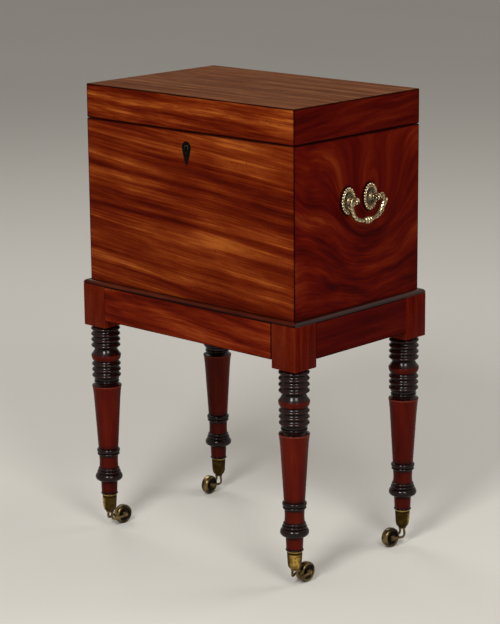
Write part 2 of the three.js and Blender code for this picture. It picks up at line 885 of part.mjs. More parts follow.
function lockBolt() {
  const half = bolt_thickness / 2;
  const bar = slab([-bolt_start, bolt_length - bolt_start], [-half, half], [bolt_top - bolt_height, bolt_top]);
  const thin = finger_thickness / 2;
  const fingers = [-1, 1].flatMap((end) => {
    const tip = end * link_spacing / 2 - link_thickness / 2 - finger_clear;
    const root = tip - finger_length;
    const top = finger_foot + finger_height;
    return [
      slab([root - finger_root, root], [-thin, thin], [bolt_top - bolt_height / 2, top]),
      slab([root - finger_root, tip], [-thin, thin], [finger_foot, top]),
    ];
  });
  const talon = slab([-talon_width / 2, talon_width / 2], [-bolt_thickness, bolt_thickness],
    [bolt_top - bolt_height - cut_overrun, bolt_top - bolt_height + talon_depth]);
  return cut(join(bar, ...fingers), talon).translate(0, lock_middle, 0);
}

function linkPlate() {
  const [half, thin] = [plate_length / 2, link_thickness / 2];
  const plate = slab([-half, half], [-selvedge_width / 2, selvedge_width / 2], [lid_base, lid_base + plate_thickness]);
  const foot = box_rim - link_drop;
  const links = [-1, 1].map((end) => {
    const x = end * link_spacing / 2;
    return slab([x - thin, x + thin], [-link_width / 2, link_width / 2], [foot, lid_base + plate_thickness / 2]);
  });
  const eyes = slab([-half, half], [-link_eye_width / 2, link_eye_width / 2],
    [foot + link_eye_floor, foot + link_eye_floor + link_eye_height]);
  return cut(join(plate, ...links), eyes).translate(0, lock_middle, 0);
}

add('lock_case', lockCase(), old_brass);
add('lock_bolt', lockBolt(), old_brass);
add('lock_link_plate', linkPlate(), old_brass);

// Lid

function lidProfile() {
  const slope = lid_board / lid_wall;
  const drop = joint_gap * Math.hypot(1, slope);
  return [
    [rim_arris, 0],
    [lid_wall, 0],
    [lid_wall, lid_height - lid_arris - lid_board - drop],
    [0, lid_height - lid_arris - drop],
    [0, rim_arris],
  ];
}

function lidTop() {
  const levels = [
    [lid_wall, lid_height - lid_arris - lid_board],
    [0, lid_height - lid_arris],
    [lid_arris, lid_height],
  ];
  const stations = levels.map(([inward, height]) => ({
    at: new THREE.Vector3(0, 0, lid_base + height),
    half: [box_width / 2 - inward, box_depth / 2 - inward],
  }));
  return loft(stations, square_section, new THREE.Vector3(0, 1, 0));
}

function lidFront() {
  const half = plate_length / 2 + joint_gap;
  const reach = selvedge_width / 2 + joint_gap;
  const seat = slab([-half, half], [lock_middle - reach, lock_middle + reach],
    [lid_base - cut_overrun, lid_base + plate_thickness + joint_gap]);
  return cut(frameBar(0, lidProfile(), box_width, box_depth, lid_base), seat);
}

function lidBack() {
  return cut(frameBar(2, lidProfile(), box_width, box_depth, lid_base), ...hingeSeats(1));
}

add('lid_front', lidFront(), mahogany);
add('lid_right', frameBar(1, lidProfile(), box_width, box_depth, lid_base), mahogany_side);
add('lid_back', lidBack(), mahogany_side);
add('lid_left', frameBar(3, lidProfile(), box_width, box_depth, lid_base), mahogany_side);
add('lid_top', lidTop(), mahogany_top);

// Butt hinges: two knuckles on the box's leaf, one on the lid's, and a riveted pin

const third = hinge_length / 6;
const knuckle_gap = joint_gap / 2;

// A leaf drawn from above, with its knuckles on the line Y = 0
function hingeLeaf(sign, spans, outline) {
  const plate = board(outline, leaf_thickness).rotateX(-Math.PI / 2);
  plate.translate(0, 0, sign * (lid_seam + leaf_thickness) / 2);
  const knuckles = spans.map(([x0, x1]) => {
    return rod(knuckle_radius, x1 - x0, hinge_segments, 'x').translate((x0 + x1) / 2, 0, 0);
  });
  const bore = boreRadius(hinge_pin_radius, running_gap, hinge_segments);
  return cut(join(plate, ...knuckles), rod(bore, hinge_length + cut_overrun, hinge_segments, 'x'));
}

function lowerLeaf() {
  const [half, inner, back] = [hinge_length / 2, third + knuckle_gap, -knuckle_radius - running_gap];
  const outline = [
    [-half, -leaf_width],
    [half, -leaf_width],
    [half, 0],
    [inner, 0],
    [inner, back],
    [-inner, back],
    [-inner, 0],
    [-half, 0],
  ];
  return hingeLeaf(-1, [[-half, -inner], [inner, half]], outline);
}

function upperLeaf() {
  const [half, inner, back] = [hinge_length / 2, third - knuckle_gap, -knuckle_radius - running_gap];
  const outline = [
    [-half, -leaf_width],
    [half, -leaf_width],
    [half, back],
    [inner, back],
    [inner, 0],
    [-inner, 0],
    [-inner, back],
    [-half, back],
  ];
  return hingeLeaf(1, [[-inner, inner]], outline);
}

function hingePin() {
  const inside = hinge_length / 2 + joint_gap;
  const end = inside + hinge_head_height;
  return turned([
    [0, -end],
    [hinge_head_radius, -end],
    [hinge_head_radius, -inside],
    [hinge_pin_radius, -inside],
    [hinge_pin_radius, inside],
    [hinge_head_radius, inside],
    [hinge_head_radius, end],
    [0, end],
  ], hinge_segments).rotateY(Math.PI / 2);
}

for (const [sign, side] of [[-1, 'left'], [1, 'right']]) {
  const hinge = new THREE.Group();
  const x = sign * (box_width / 2 - hinge_inset);
  hinge.position.set(x, box_depth / 2 + knuckle_out, (box_rim + lid_base) / 2);
  add(`hinge_lower_${side}`, lowerLeaf(), old_brass, hinge);
  add(`hinge_upper_${side}`, upperLeaf(), old_brass, hinge);
  add(`hinge_pin_${side}`, hingePin(), old_brass, hinge);
  cellarette.add(hinge);
}

// Carrying handles, drawn with X outwards from the side of the box

const post_seat = rosette_thickness + rosette_crown / 2 + joint_gap;

function rosette() {
  const radius = rosette_height / 2;
  const crest = rosette_thickness + rosette_rim;
  const rim = radius - 2 * rosette_rim;
  const outline = [
    [0, joint_gap],
    [radius, joint_gap],
    [radius, rosette_thickness],
    [radius - rosette_rim / 2, crest],
    [rim + rosette_rim / 2, crest],
    [rim * rosette_well_share, rosette_thickness],
    [post_flange_radius + rosette_rim, post_seat - joint_gap],
    [0, post_seat - joint_gap],
  ];
  const oval = turned(outline, rosette_segments).rotateY(Math.PI / 2);
  oval.scale(1, rosette_width / rosette_height, 1);
  const bore = boreRadius(post_shank_radius, joint_gap, post_segments);
  return cut(oval, rod(bore, 4 * crest, post_segments, 'x'));
}

function post() {
  const neck = post_seat + post_flange_height;
  const ball = Array.from({ length: ball_steps - 1 }, (_, k) => {
    const angle = (k + 1) / ball_steps * Math.PI;
    return [post_head_radius * Math.sin(angle), post_reach - post_head_radius * Math.cos(angle)];
  });
  const outline = [
    [0, -post_shank_depth],
    [post_shank_radius, -post_shank_depth],
    [post_shank_radius, post_seat],
    [post_flange_radius, post_seat],
    [post_flange_radius * flange_top_share, neck],
    [post_neck_radius, neck + post_flange_height / 2],
    ...ball,
    [0, post_reach + post_head_radius],
  ];
  const bore = boreRadius(bail_pin_radius, running_gap, post_segments);
  const hole = rod(bore, 3 * post_head_radius, post_segments, 'y').translate(post_reach, 0, 0);
  return cut(turned(outline, post_segments).rotateY(Math.PI / 2), hole);
}

// Half of the bail, from the knob outside the post down to the collar in the middle.
// The shares are of the half span, the drop and the thickest radius.
const bail_shares = [
  [1.0, -0.11, 0.35],
  [1.0, -0.07, 0.7],
  [1.0, 0.05, 0.84],
  [0.99, 0.26, 0.95],
  [0.95, 0.46, 1.0],
  [0.85, 0.67, 0.97],
  [0.67, 0.84, 0.88],
  [0.45, 0.94, 0.78],
  [0.18, 1.0, 0.7],
  [0.155, 1.0, 1.1],
  [0.11, 1.0, 1.14],
  [0.09, 1.0, 0.86],
  [0.055, 1.0, 1.38],
];

function bail() {
  const half = bail_shares.map(([across, down, thick]) => ({
    at: new THREE.Vector3(0, across * bail_half_span, -down * bail_drop),
    half: [thick * bail_radius, thick * bail_radius],
  }));
  const other = half.map(({ at, half: size }) => ({ at: new THREE.Vector3(0, -at.y, at.z), half: size }));
  const side = new THREE.Vector3(1, 0, 0);
  const bow = loft([...half, ...other.reverse()], roundSection(bail_sides), side);
  const pin_tip = post_spacing / 2 - post_head_radius;
  const pins = [-1, 1].map((sign) => {
    const pin = rod(bail_pin_radius, bail_half_span - pin_tip, bail_sides, 'y');
    return pin.translate(0, sign * (bail_half_span + pin_tip) / 2, 0);
  });
  return join(bow, ...pins, leafTip(-1), leafTip(1));
}

// The flared leaf on each shoulder of the bail
const leaf_shares = [
  [-0.25, 0.56, 0.4],
  [0.1, 0.42, 0.78],
  [0.45, 0.31, 0.72],
  [0.8, 0.26, 0.5],
  [1.0, 0.2, 0.22],
];

function leafTip(sign) {
  const stations = leaf_shares.map(([out, down, thick]) => ({
    at: new THREE.Vector3(0, sign * (bail_half_span + out * leaf_tip_reach), -down * bail_drop),
    half: [thick * bail_radius, thick * bail_radius],
  }));
  return loft(stations, roundSection(bail_sides - 2), new THREE.Vector3(1, 0, 0));
}

for (const [sign, side] of [[-1, 'left'], [1, 'right']]) {
  const handle = new THREE.Group();
  handle.position.set(sign * box_width / 2, 0, lid_top - handle_drop);
  handle.rotation.z = sign < 0 ? Math.PI : 0;
  for (const [end, name] of [[-1, 'front'], [1, 'back']]) {
    const y = end * sign * post_spacing / 2;
    add(`rosette_${name}_${side}`, rosette().translate(0, y, 0), old_brass, handle);
    add(`handle_post_${name}_${side}`, post().translate(0, y, 0), old_brass, handle);
  }
  add(`handle_bail_${side}`, bail().translate(post_reach, 0, 0), old_brass, handle);
  cellarette.add(handle);
}

export default cellarette;
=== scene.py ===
"""Cellarette: a mahogany box for bottles on a stand with turned legs, brass castors and carrying handles.
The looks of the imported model, in metres, in the model's own frame."""

import math

import bmesh
import bpy
from mathutils import Matrix, Vector


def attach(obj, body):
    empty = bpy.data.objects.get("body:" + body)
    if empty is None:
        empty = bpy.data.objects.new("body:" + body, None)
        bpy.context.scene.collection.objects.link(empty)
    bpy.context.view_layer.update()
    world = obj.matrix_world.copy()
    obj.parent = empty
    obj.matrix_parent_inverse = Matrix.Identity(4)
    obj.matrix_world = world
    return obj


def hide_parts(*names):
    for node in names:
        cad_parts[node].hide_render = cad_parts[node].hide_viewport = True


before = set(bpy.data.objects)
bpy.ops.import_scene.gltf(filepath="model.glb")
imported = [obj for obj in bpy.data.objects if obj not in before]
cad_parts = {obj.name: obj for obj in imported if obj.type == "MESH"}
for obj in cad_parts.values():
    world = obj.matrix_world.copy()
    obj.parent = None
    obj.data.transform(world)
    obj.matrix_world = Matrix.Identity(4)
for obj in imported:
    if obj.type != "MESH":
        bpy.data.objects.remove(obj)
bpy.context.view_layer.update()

MM = 0.001
SIDES = ("left", "right")
WALLS = ("front", "right", "back", "left")

# Sizes of the model in millimetres, where a replaced node needs them
STAND_TOP = 430.5
BOX_RIM = 709.0
LID_BASE = 709.6
LID_TOP = 765.6
BOX_WIDTH, BOX_DEPTH = 457.0, 300.0
STAND_WIDTH, STAND_DEPTH = 476.6, 319.6
BLOCK_SIZE, BLOCK_HEIGHT = 50.0, 71.8
RAIL_HEIGHT = 58.0
JOINT_GAP = 0.3
WALL = 15.0
KEYHOLE_LEVEL = LID_BASE - 26.1
HANDLE_LEVEL = LID_TOP - 157
POST_SPACING, POST_REACH = 53.0, 19.0
ROSETTE_HALF_WIDTH, ROSETTE_HALF_HEIGHT = 16.4, 21.9
# Where each castor trails, in degrees from the right towards the back
CASTOR_TURNS = {"front_left": 86, "front_right": 92, "back_right": 264, "back_left": 276}
LEG_AXES = {
    f"{end}_{side}": (sx * (STAND_WIDTH - BLOCK_SIZE) / 2, sy * (STAND_DEPTH - BLOCK_SIZE) / 2)
    for sx, side in ((-1, "left"), (1, "right"))
    for sy, end in ((-1, "front"), (1, "back"))
}


# Camera, light and floor


def make_camera():
    """The photograph's view: its yaw, pitch, roll and distance come from the corners of the box and stand."""
    yaw, pitch, roll = (math.radians(angle) for angle in (43.1979, 13.7527, -0.4897))
    ahead = Vector((-math.sin(yaw) * math.cos(pitch), math.cos(yaw) * math.cos(pitch), -math.sin(pitch)))
    level = Vector((math.cos(yaw), math.sin(yaw), 0))
    above = level.cross(ahead)
    right = math.cos(roll) * level + math.sin(roll) * above
    up = math.cos(roll) * above - math.sin(roll) * level
    camera = bpy.data.objects.new("camera", bpy.data.cameras.new("camera"))
    camera.data.lens = 125.344
    camera.data.sensor_width = 36
    camera.data.clip_end = 100
    turn = Matrix((right, up, -ahead)).transposed().to_4x4()
    camera.matrix_world = Matrix.Translation((2.392172, -2.553947, 1.245289)) @ turn
    bpy.context.scene.collection.objects.link(camera)
    bpy.context.scene.camera = camera


def make_lamp(name, azimuth, elevation, distance, size, power, mirrored=True):
    """A soft box that faces the object. Azimuth runs from the front towards the right side, in degrees.
    Where mirrored is off, polish doesn't show it."""
    a, e = math.radians(azimuth), math.radians(elevation)
    aim = Vector((0, 0, 0.42))
    away = Vector((math.sin(a) * math.cos(e), -math.cos(a) * math.cos(e), math.sin(e)))
    light = bpy.data.lights.new(name, "AREA")
    light.shape = "RECTANGLE"
    light.size, light.size_y = size
    light.energy = power
    lamp = bpy.data.objects.new(name, light)
    lamp.visible_glossy = mirrored
    turn = away.to_track_quat("Z", "Y").to_matrix().to_4x4()
    lamp.matrix_world = Matrix.Translation(aim + away * distance) @ turn
    bpy.context.scene.collection.objects.link(lamp)


def make_world():
    """A pale backdrop for the camera and for reflections, and a plain level for everything else."""
    world = bpy.data.worlds.new("studio")
    bpy.context.scene.world = world
    world.use_nodes = True
    nodes, links = world.node_tree.nodes, world.node_tree.links
    nodes.clear()
    path = nodes.new("ShaderNodeLightPath")
    seen = path.outputs["Is Camera Ray"]
    for ray in ("Is Glossy Ray", "Is Transmission Ray"):
        larger = nodes.new("ShaderNodeMath")
        larger.operation = "MAXIMUM"
        links.new(seen, larger.inputs[0])
        links.new(path.outputs[ray], larger.inputs[1])
        seen = larger.outputs[0]
    level = nodes.new("ShaderNodeBackground")
    level.inputs["Color"].default_value = (1, 0.98, 0.95, 1)
    level.inputs["Strength"].default_value = 0.34
    backdrop = nodes.new("ShaderNodeBackground")
    backdrop.inputs["Color"].default_value = (0.5, 0.485, 0.45, 1)
    backdrop.inputs["Strength"].default_value = 1
    mix = nodes.new("ShaderNodeMixShader")
    links.new(seen, mix.inputs[0])
    links.new(level.outputs[0], mix.inputs[1])
    links.new(backdrop.outputs[0], mix.inputs[2])
    links.new(mix.outputs[0], nodes.new("ShaderNodeOutputWorld").inputs["Surface"])


# Material nodes


class Graph:
    """One material's nodes. Wherever a number goes, an output socket can go instead."""

    def __init__(self, name):
        self.material = bpy.data.materials.new(name)
        self.material.use_nodes = True
        self.tree = self.material.node_tree
        self.shader = self.tree.nodes["Principled BSDF"]
        self.place = self.node("ShaderNodeTexCoord", {}).outputs["Object"]

    def put(self, socket, value):
        if isinstance(value, bpy.types.NodeSocket):
            self.tree.links.new(value, socket)
        else:
            socket.default_value = value

    def node(self, kind, inputs, **settings):
        node = self.tree.nodes.new(kind)
        for key, value in settings.items():
            setattr(node, key, value)
        for key, value in inputs.items():
            self.put(node.inputs[key], value)
        return node

    def math(self, operation, a, b=0.0, clamp=False):
        return self.node("ShaderNodeMath", {0: a, 1: b}, operation=operation, use_clamp=clamp).outputs[0]

    def total(self, *parts):
        """The sum of (value, weight) pairs."""
        result = 0.0
        for value, weight in parts:
            node = self.node("ShaderNodeMath", {0: value, 1: weight, 2: result}, operation="MULTIPLY_ADD")
            result = node.outputs[0]
        return result

    def dot(self, vector, axis):
        node = self.node("ShaderNodeVectorMath", {0: vector, 1: tuple(axis)}, operation="DOT_PRODUCT")
        return node.outputs["Value"]

    def vector(self, x, y, z):
        return self.node("ShaderNodeCombineXYZ", {0: x, 1: y, 2: z}).outputs[0]

    def noise(self, vector, scale, detail, roughness=0.5, distortion=0.0):
        inputs = {"Vector": vector, "Scale": scale, "Detail": detail, "Roughness": roughness,
                  "Distortion": distortion}
        return self.node("ShaderNodeTexNoise", inputs).outputs["Fac"]

    def step(self, value, low, high, start=0.0, end=1.0):
        """Start below low, end above high, and smooth between them."""
        inputs = {"Value": value, "From Min": low, "From Max": high, "To Min": start, "To Max": end}
        return self.node("ShaderNodeMapRange", inputs, interpolation_type="SMOOTHSTEP").outputs["Result"]

    def ramp(self, value, stops):
        node = self.node("ShaderNodeValToRGB", {"Fac": value})
        ramp = node.color_ramp
        while len(ramp.elements) < len(stops):
            ramp.elements.new(1.0)
        for element, (position, colour) in zip(ramp.elements, stops):
            element.position = position
            element.color = (*colour, 1)
        return node.outputs["Color"]

    def mix(self, share, a, b, blend="MIX"):
        node = self.node("ShaderNodeMix", {"Factor": share}, data_type="RGBA", blend_type=blend)
        for index, value in ((6, a), (7, b)):
            self.put(node.inputs[index], value if isinstance(value, bpy.types.NodeSocket) else (*value, 1))
        return node.outputs[2]

    def specks(self, vector, scale, radius, share):
        """Small uneven spots, one in some of the cells of a grid."""
        ripple = self.node("ShaderNodeTexNoise", {"Vector": vector, "Scale": scale * 3.5, "Detail": 2.0})
        reach = (3.0 * radius / scale,) * 3
        inputs = {0: ripple.outputs["Color"], 1: reach, 2: vector}
        uneven = self.node("ShaderNodeVectorMath", inputs, operation="MULTIPLY_ADD").outputs[0]
        cells = self.node("ShaderNodeTexVoronoi", {"Vector": uneven, "Scale": scale})
        inside = self.step(cells.outputs["Distance"], radius * 0.5, radius, 1.0, 0.0)
        chosen = self.math("LESS_THAN", self.dot(cells.outputs["Color"], (1, 0, 0)), share)
        return self.math("MULTIPLY", inside, chosen)

    def bump(self, height, strength, distance):
        node = self.node("ShaderNodeBump", {"Height": height, "Strength": strength, "Distance": distance})
        self.put(self.shader.inputs["Normal"], node.outputs["Normal"])

    def attribute(self, name):
        return self.node("ShaderNodeAttribute", {}, attribute_name=name).outputs["Fac"]

    def finish(self, colour, roughness, **constants):
        self.put(self.shader.inputs["Base Color"], colour)
        self.put(self.shader.inputs["Roughness"], roughness)
        for name, value in constants.items():
            self.shader.inputs[name.replace("_", " ").title().replace("Ior", "IOR")].default_value = value
        return self.material


def wood(name, tones, along, across, *, seed, stretch, bands, warp, pits, warp_scale=5.0, streaks=16.0,
         blend=(0.52, 0.27, 0.02, 0.19), spread=1.0, knots=(), edges=(), dirt_and_shade_rings=(), fresh_below=None,
         grime_and_shade=None, pecks=0.1, shine=0.015, roughness=0.34, coat=0.015, gloss=0.12):
    """Polished wood with its grain along one axis.
    tones: colours from the darkest streak to the lightest, which spread sets further apart.
    stretch, bands, streaks: how often the figure changes per metre along, across, and in its streaks.
    warp, warp_scale: how far and how often the grain wanders.
    blend: shares of the bands, streaks, cross figure and mottle.
    knots: (along, across, reach, lift, part) bends of the grain, which rises over them or parts.
    edges: (axis, low, high, reach) limits in metres near which the polish has darkened.
    dirt_and_shade_rings: (along, across, half length, half height) of oval fittings, with dirt round them
    and, round the rosettes, painted shade.
    fresh_below: the height under which light hasn't faded the wood.
    grime_and_shade: the colour that the vertices' dark attribute brings: the black of ebonised rings, dirt,
    and painted shade in creases and undersides. Below zero the attribute paints a highlight lighter than the
    wood.
    pits, pecks: shares of large and small marks. gloss: the roughness of the coat."""
    g = Graph(name)
    along, across = Vector(along).normalized(), Vector(across).normalized()
    through = along.cross(across)
    u, v, w = (g.dot(g.place, axis) for axis in (along, across, through))
    bend = g.noise(g.vector(g.total((u, 1.0), (seed, 1.0)), v, w), warp_scale, 2.0)
    v = g.total((v, 1.0), (bend, warp))
    for at, high, reach, lift, part in knots:
        du = g.math("SUBTRACT", u, at)
        dv = g.math("SUBTRACT", v, high)
        square = g.total((g.math("MULTIPLY", du, du), 1.0), (g.math("MULTIPLY", dv, dv), 1.0))
        hump = g.math("EXPONENT", g.math("MULTIPLY", square, -1 / reach**2))
        v = g.total((v, 1.0), (hump, lift), (g.math("MULTIPLY", hump, dv), -part))
    broad = g.vector(g.total((u, stretch), (seed, 3.7)), g.math("MULTIPLY", v, bands), w)
    broad = g.noise(broad, 1.0, 3.0, 0.55, 0.4)
    streak = g.vector(g.total((u, streaks), (seed, 1.0)), g.math("MULTIPLY", v, 300),
                      g.math("MULTIPLY", w, 300))
    fine = g.noise(streak, 1.0, 4.0, 0.65)
    cross = g.noise(g.vector(g.math("MULTIPLY", u, 330), g.math("MULTIPLY", v, 90), w), 1.0, 1.0)
    mottle = g.noise(g.vector(g.total((u, 0.45), (seed, 0.7)), v, w), 15.0, 3.0, 0.6)
    pores = g.vector(g.math("MULTIPLY", u, 110), g.math("MULTIPLY", v, 1500), g.math("MULTIPLY", w, 1500))
    pores = g.noise(pores, 1.0, 1.0)
    level = g.total(*zip((broad, fine, cross, mottle), blend))
    middle = sum(blend) / 2
    count = len(tones) - 1
    stops = [(middle + (k / count - 0.5) * 0.3 * spread, tone) for k, tone in enumerate(tones)]
    colour = g.ramp(level, stops)
    if fresh_below:
        height = g.dot(g.place, Z)
        fresh = g.step(height, fresh_below - 0.001, fresh_below, 1.0, 0.0)
        colour = g.mix(fresh, colour, (0.78, 0.37, 0.1), "MULTIPLY")
    pore = g.step(pores, 0.64, 0.76)
    colour = g.mix(g.math("MULTIPLY", pore, 0.35), colour, tones[0])
    mark = g.specks(g.place, 24.0, 0.045, pits)
    dint = g.specks(g.place, 61.0, 0.08, pits * 0.6)
    smudge = g.noise(g.place, 9.0, 3.0)
    peck = g.math("MULTIPLY", g.specks(g.place, 160.0, 0.2, pecks), g.step(smudge, 0.36, 0.5))
    marks = g.math("MAXIMUM", g.math("MAXIMUM", mark, g.math("MULTIPLY", dint, 0.7)), peck)
    shade = tuple(0.25 * c for c in tones[0])
    colour = g.mix(g.math("MULTIPLY", marks, 0.85), colour, shade)
    for axis, low, high, reach in edges:
        x = g.dot(g.place, axis)
        gap = g.math("MINIMUM", g.math("SUBTRACT", x, low), g.math("SUBTRACT", high, x))
        uneven = g.total((smudge, reach * 1.2), (gap, 1.0))
        near = g.step(uneven, reach * 1.1, reach * 2.1, 0.92, 0.0)
        colour = g.mix(near, colour, shade)
    # Dark ovals round fittings: dirt, and painted shade round the handles' rosettes
    for at, high, half_along, half_across in dirt_and_shade_rings:
        du = g.math("MULTIPLY", g.math("SUBTRACT", g.dot(g.place, along), at), 1 / half_along)
        dv = g.math("MULTIPLY", g.math("SUBTRACT", g.dot(g.place, across), high), 1 / half_across)
        oval = g.total((du, du), (g.math("MULTIPLY", dv, dv), 1.0), (smudge, 0.3))
        colour = g.mix(g.step(oval, 1.1, 1.65, 0.94, 0.0), colour, shade)
    # Ebonising, dirt and painted shade from the vertices' dark attribute
    if grime_and_shade:
        dark = g.attribute("dark")
        colour = g.mix(dark, colour, grime_and_shade)
        # A painted highlight where the dark attribute is below zero
        painted_highlight = tuple(1.5 * c + 0.01 for c in tones[-1])
        colour = g.mix(g.math("MULTIPLY", dark, -1.0, True), colour, painted_highlight)
    rough = g.total((smudge, 0.16), (fine, 0.1), (roughness - 0.13, 1.0))
    g.bump(g.total((fine, 0.4), (pore, -0.9), (marks, -2.5), (smudge, 1.2)), 0.22, 0.0004)
    return g.finish(colour, rough, specular_ior_level=shine, coat_weight=coat, coat_roughness=gloss)


def metal(name, bright, dull, dark, *, roughness, scale, worn=0.0):
    """Old cast or turned brass, bright in part and dull in part, with dark hollows and the painted shade that
    the vertices' dark attribute carries.
    worn: how much more of it is bright."""
    g = Graph(name)
    cloud = g.noise(g.place, scale, 4.0, 0.6)
    grainy = g.noise(g.place, 900.0, 2.0)
    colour = g.mix(g.step(cloud, 0.38 + worn, 0.6 + worn), bright, dull)
    spots = g.specks(g.place, 260.0, 0.22, 0.2)
    # Dark specks, plus hollows and painted shade from the vertices' dark attribute
    soot_and_shade = g.math("MAXIMUM", g.math("MULTIPLY", spots, 0.7), g.attribute("dark"), True)
    colour = g.mix(soot_and_shade, colour, dark)
    rough = g.total((cloud, 0.22), (soot_and_shade, 0.3), (roughness - 0.11, 1.0))
    g.bump(g.total((grainy, 0.25), (spots, -1.0), (cloud, 0.5)), 0.25, 0.0003)
    return g.finish(colour, rough, metallic=1.0)


def plain(name, colour, patch, *, roughness, scale, metallic=0.0, shine=0.4):
    """One colour with patches of another."""
    g = Graph(name)
    cloud = g.noise(g.place, scale, 4.0, 0.6)
    fine = g.noise(g.place, scale * 22, 2.0)
    mixed = g.mix(g.step(cloud, 0.3, 0.7), colour, patch)
    rough = g.total((cloud, 0.2), (fine, 0.1), (roughness - 0.15, 1.0))
    g.bump(g.total((fine, 0.4), (cloud, 1.0)), 0.2, 0.0005)
    return g.finish(mixed, rough, metallic=metallic, specular_ior_level=shine)


# Mesh pieces


def new_mesh():
    """An empty mesh whose vertices carry a darkness: 1 for tarnish in a hollow or for painted shade, below 0
    for a painted highlight.
    """
    bm = bmesh.new()
    bm.verts.layers.float.new("dark")
    return bm


def skin(bm, rings, caps=(False, False), material=0):
    """Joins rings of vertices with faces. A ring of one vertex is a pole."""
    faces = []
    for low, high in zip(rings, rings[1:]):
        count = max(len(low), len(high))
        for k in range(count):
            n = (k + 1) % count
            corners = []
            for vert in (low[k % len(low)], low[n % len(low)], high[n % len(high)], high[k % len(high)]):
                if vert not in corners:
                    corners.append(vert)
            if len(corners) > 2:
                faces.append(bm.faces.new(corners))
    if caps[0]:
        faces.append(bm.faces.new(rings[0][::-1]))
    if caps[1]:
        faces.append(bm.faces.new(rings[-1]))
    for face in faces:
        face.material_index = material
    return faces


def add_vert(bm, point, dark=0.0):
    """A vertex at a point in millimetres."""
    vert = bm.verts.new(Vector(point) * MM)
    vert[bm.verts.layers.float["dark"]] = dark
    return vert


def lathe(bm, profile, segments, place, material=0):
    """Turns (radius, height, dark) points about Z, then puts them in place, in millimetres."""
    rings = []
    for radius, height, dark in profile:
        if radius < 1e-6:
            rings.append([add_vert(bm, place @ Vector((0, 0, height)), dark)])
            continue
        ring = []
        for k in range(segments):
            angle = 2 * math.pi * k / segments
            point = Vector((radius * math.cos(angle), radius * math.sin(angle), height))
            ring.append(add_vert(bm, place @ point, dark))
        rings.append(ring)
    return skin(bm, rings, material=material)


def bead(bm, at, radius, place, segments):
    """A ball on a plate whose outward axis is X, with painted shade darkening it towards the plate, so that
    only its outer cap stays bright.
    """
    profile = [(0, -radius, 1.0)]
    for k in range(1, segments // 2):
        angle = math.pi * (2 * k / segments - 0.5)
        dark = 0.8 - 0.9 * max(math.sin(angle), 0)
        profile.append((radius * math.cos(angle), radius * math.sin(angle), dark))
    profile.append((0, radius, 0.0))
    lathe(bm, profile, segments, place @ Matrix.Translation(at) @ Matrix.Rotation(math.pi / 2, 4, "Y"))


def tube(bm, stations, sides, place, relief=None, square=0.0):
    """A closed tube through (centre, side, half across, half along the side, dark) stations.
    relief: gives the radius factor and darkness for a share of the length and an angle.
    square: 0 for a round section, 1 for a square one."""
    rings = []
    for i, (at, side, across_half, side_half, dark) in enumerate(stations):
        before, after = stations[max(i - 1, 0)][0], stations[min(i + 1, len(stations) - 1)][0]
        ahead = (after - before).normalized()
        across = side.cross(ahead).normalized()
        ring = []
        for k in range(sides):
            angle = 2 * math.pi * (k + 0.5) / sides
            c, s = math.cos(angle), math.sin(angle)
            if square:
                grow = 1 / max(abs(c), abs(s)) ** square
                c, s = c * grow, s * grow
            factor, shade = relief(i / (len(stations) - 1), angle) if relief else (1.0, 0.0)
            point = at + across * (c * across_half * factor) + side * (s * side_half * factor)
            ring.append(add_vert(bm, place @ point, max(dark, shade)))
        rings.append(ring)
    skin(bm, rings, caps=(True, True))


def smooth_path(points, steps):
    """A Catmull-Rom curve through tuples of numbers."""
    curve = []
    last = len(points) - 1
    for i in range(last):
        p0, p1, p2, p3 = (points[min(max(i + d, 0), last)] for d in (-1, 0, 1, 2))
        for k in range(steps):
            t = k / steps
            curve.append(tuple(
                0.5 * (2 * b + (c - a) * t + (2 * a - 5 * b + 4 * c - d) * t**2
                       + (3 * b - a - 3 * c + d) * t**3)
                for a, b, c, d in zip(p0, p1, p2, p3)
            ))
    curve.append(tuple(points[last]))
    return curve


def block(low, high, bevel, place):
    """A new mesh of a box with eased edges."""
    cut = new_mesh()
    spans = list(zip(low, high))
    corners = [(x, y, z) for z in spans[2] for y in spans[1] for x in spans[0]]
    verts = [add_vert(cut, place @ Vector(corner)) for corner in corners]
    order = ((0, 2, 3, 1), (4, 5, 7, 6), (0, 1, 5, 4), (2, 6, 7, 3), (0, 4, 6, 2), (1, 3, 7, 5))
    for quad in order:
        cut.faces.new([verts[i] for i in quad])
    bmesh.ops.bevel(cut, geom=cut.edges[:], offset=bevel * MM, segments=3, affect="EDGES", profile=0.5)
    # Copied, since a bevel leaves gaps that later faces would fill in another order each run
    bm = cut.copy()
    cut.free()
    return bm


def screw(bm, at, outward, radius, turn, tarnish=0.1):
    """A flat screw head with a slot, its rim level with the point."""
    facing = outward.to_track_quat("Z", "Y").to_matrix().to_4x4()
    place = Matrix.Translation(at) @ facing @ Matrix.Rotation(turn, 4, "Z")
    lathe(bm, [(0, -0.3, 1.0), (radius, -0.3, 1.0), (radius, 0.02, 1.0), (0, 0.02, 1.0)], 16, place)
    for sign in (-1, 1):
        start = math.asin(0.16)
        arc = [start + (math.pi - 2 * start) * k / 10 for k in range(11)]
        rim = [Vector((radius * math.cos(a), sign * radius * math.sin(a), 0)) for a in arc]
        low = [add_vert(bm, place @ p, 0.8) for p in rim]
        high = [add_vert(bm, place @ (p * 0.96 + Vector((0, 0, 0.28))), tarnish) for p in rim]
        if sign < 0:
            low.reverse()
            high.reverse()
        skin(bm, [low, high], caps=(True, True))


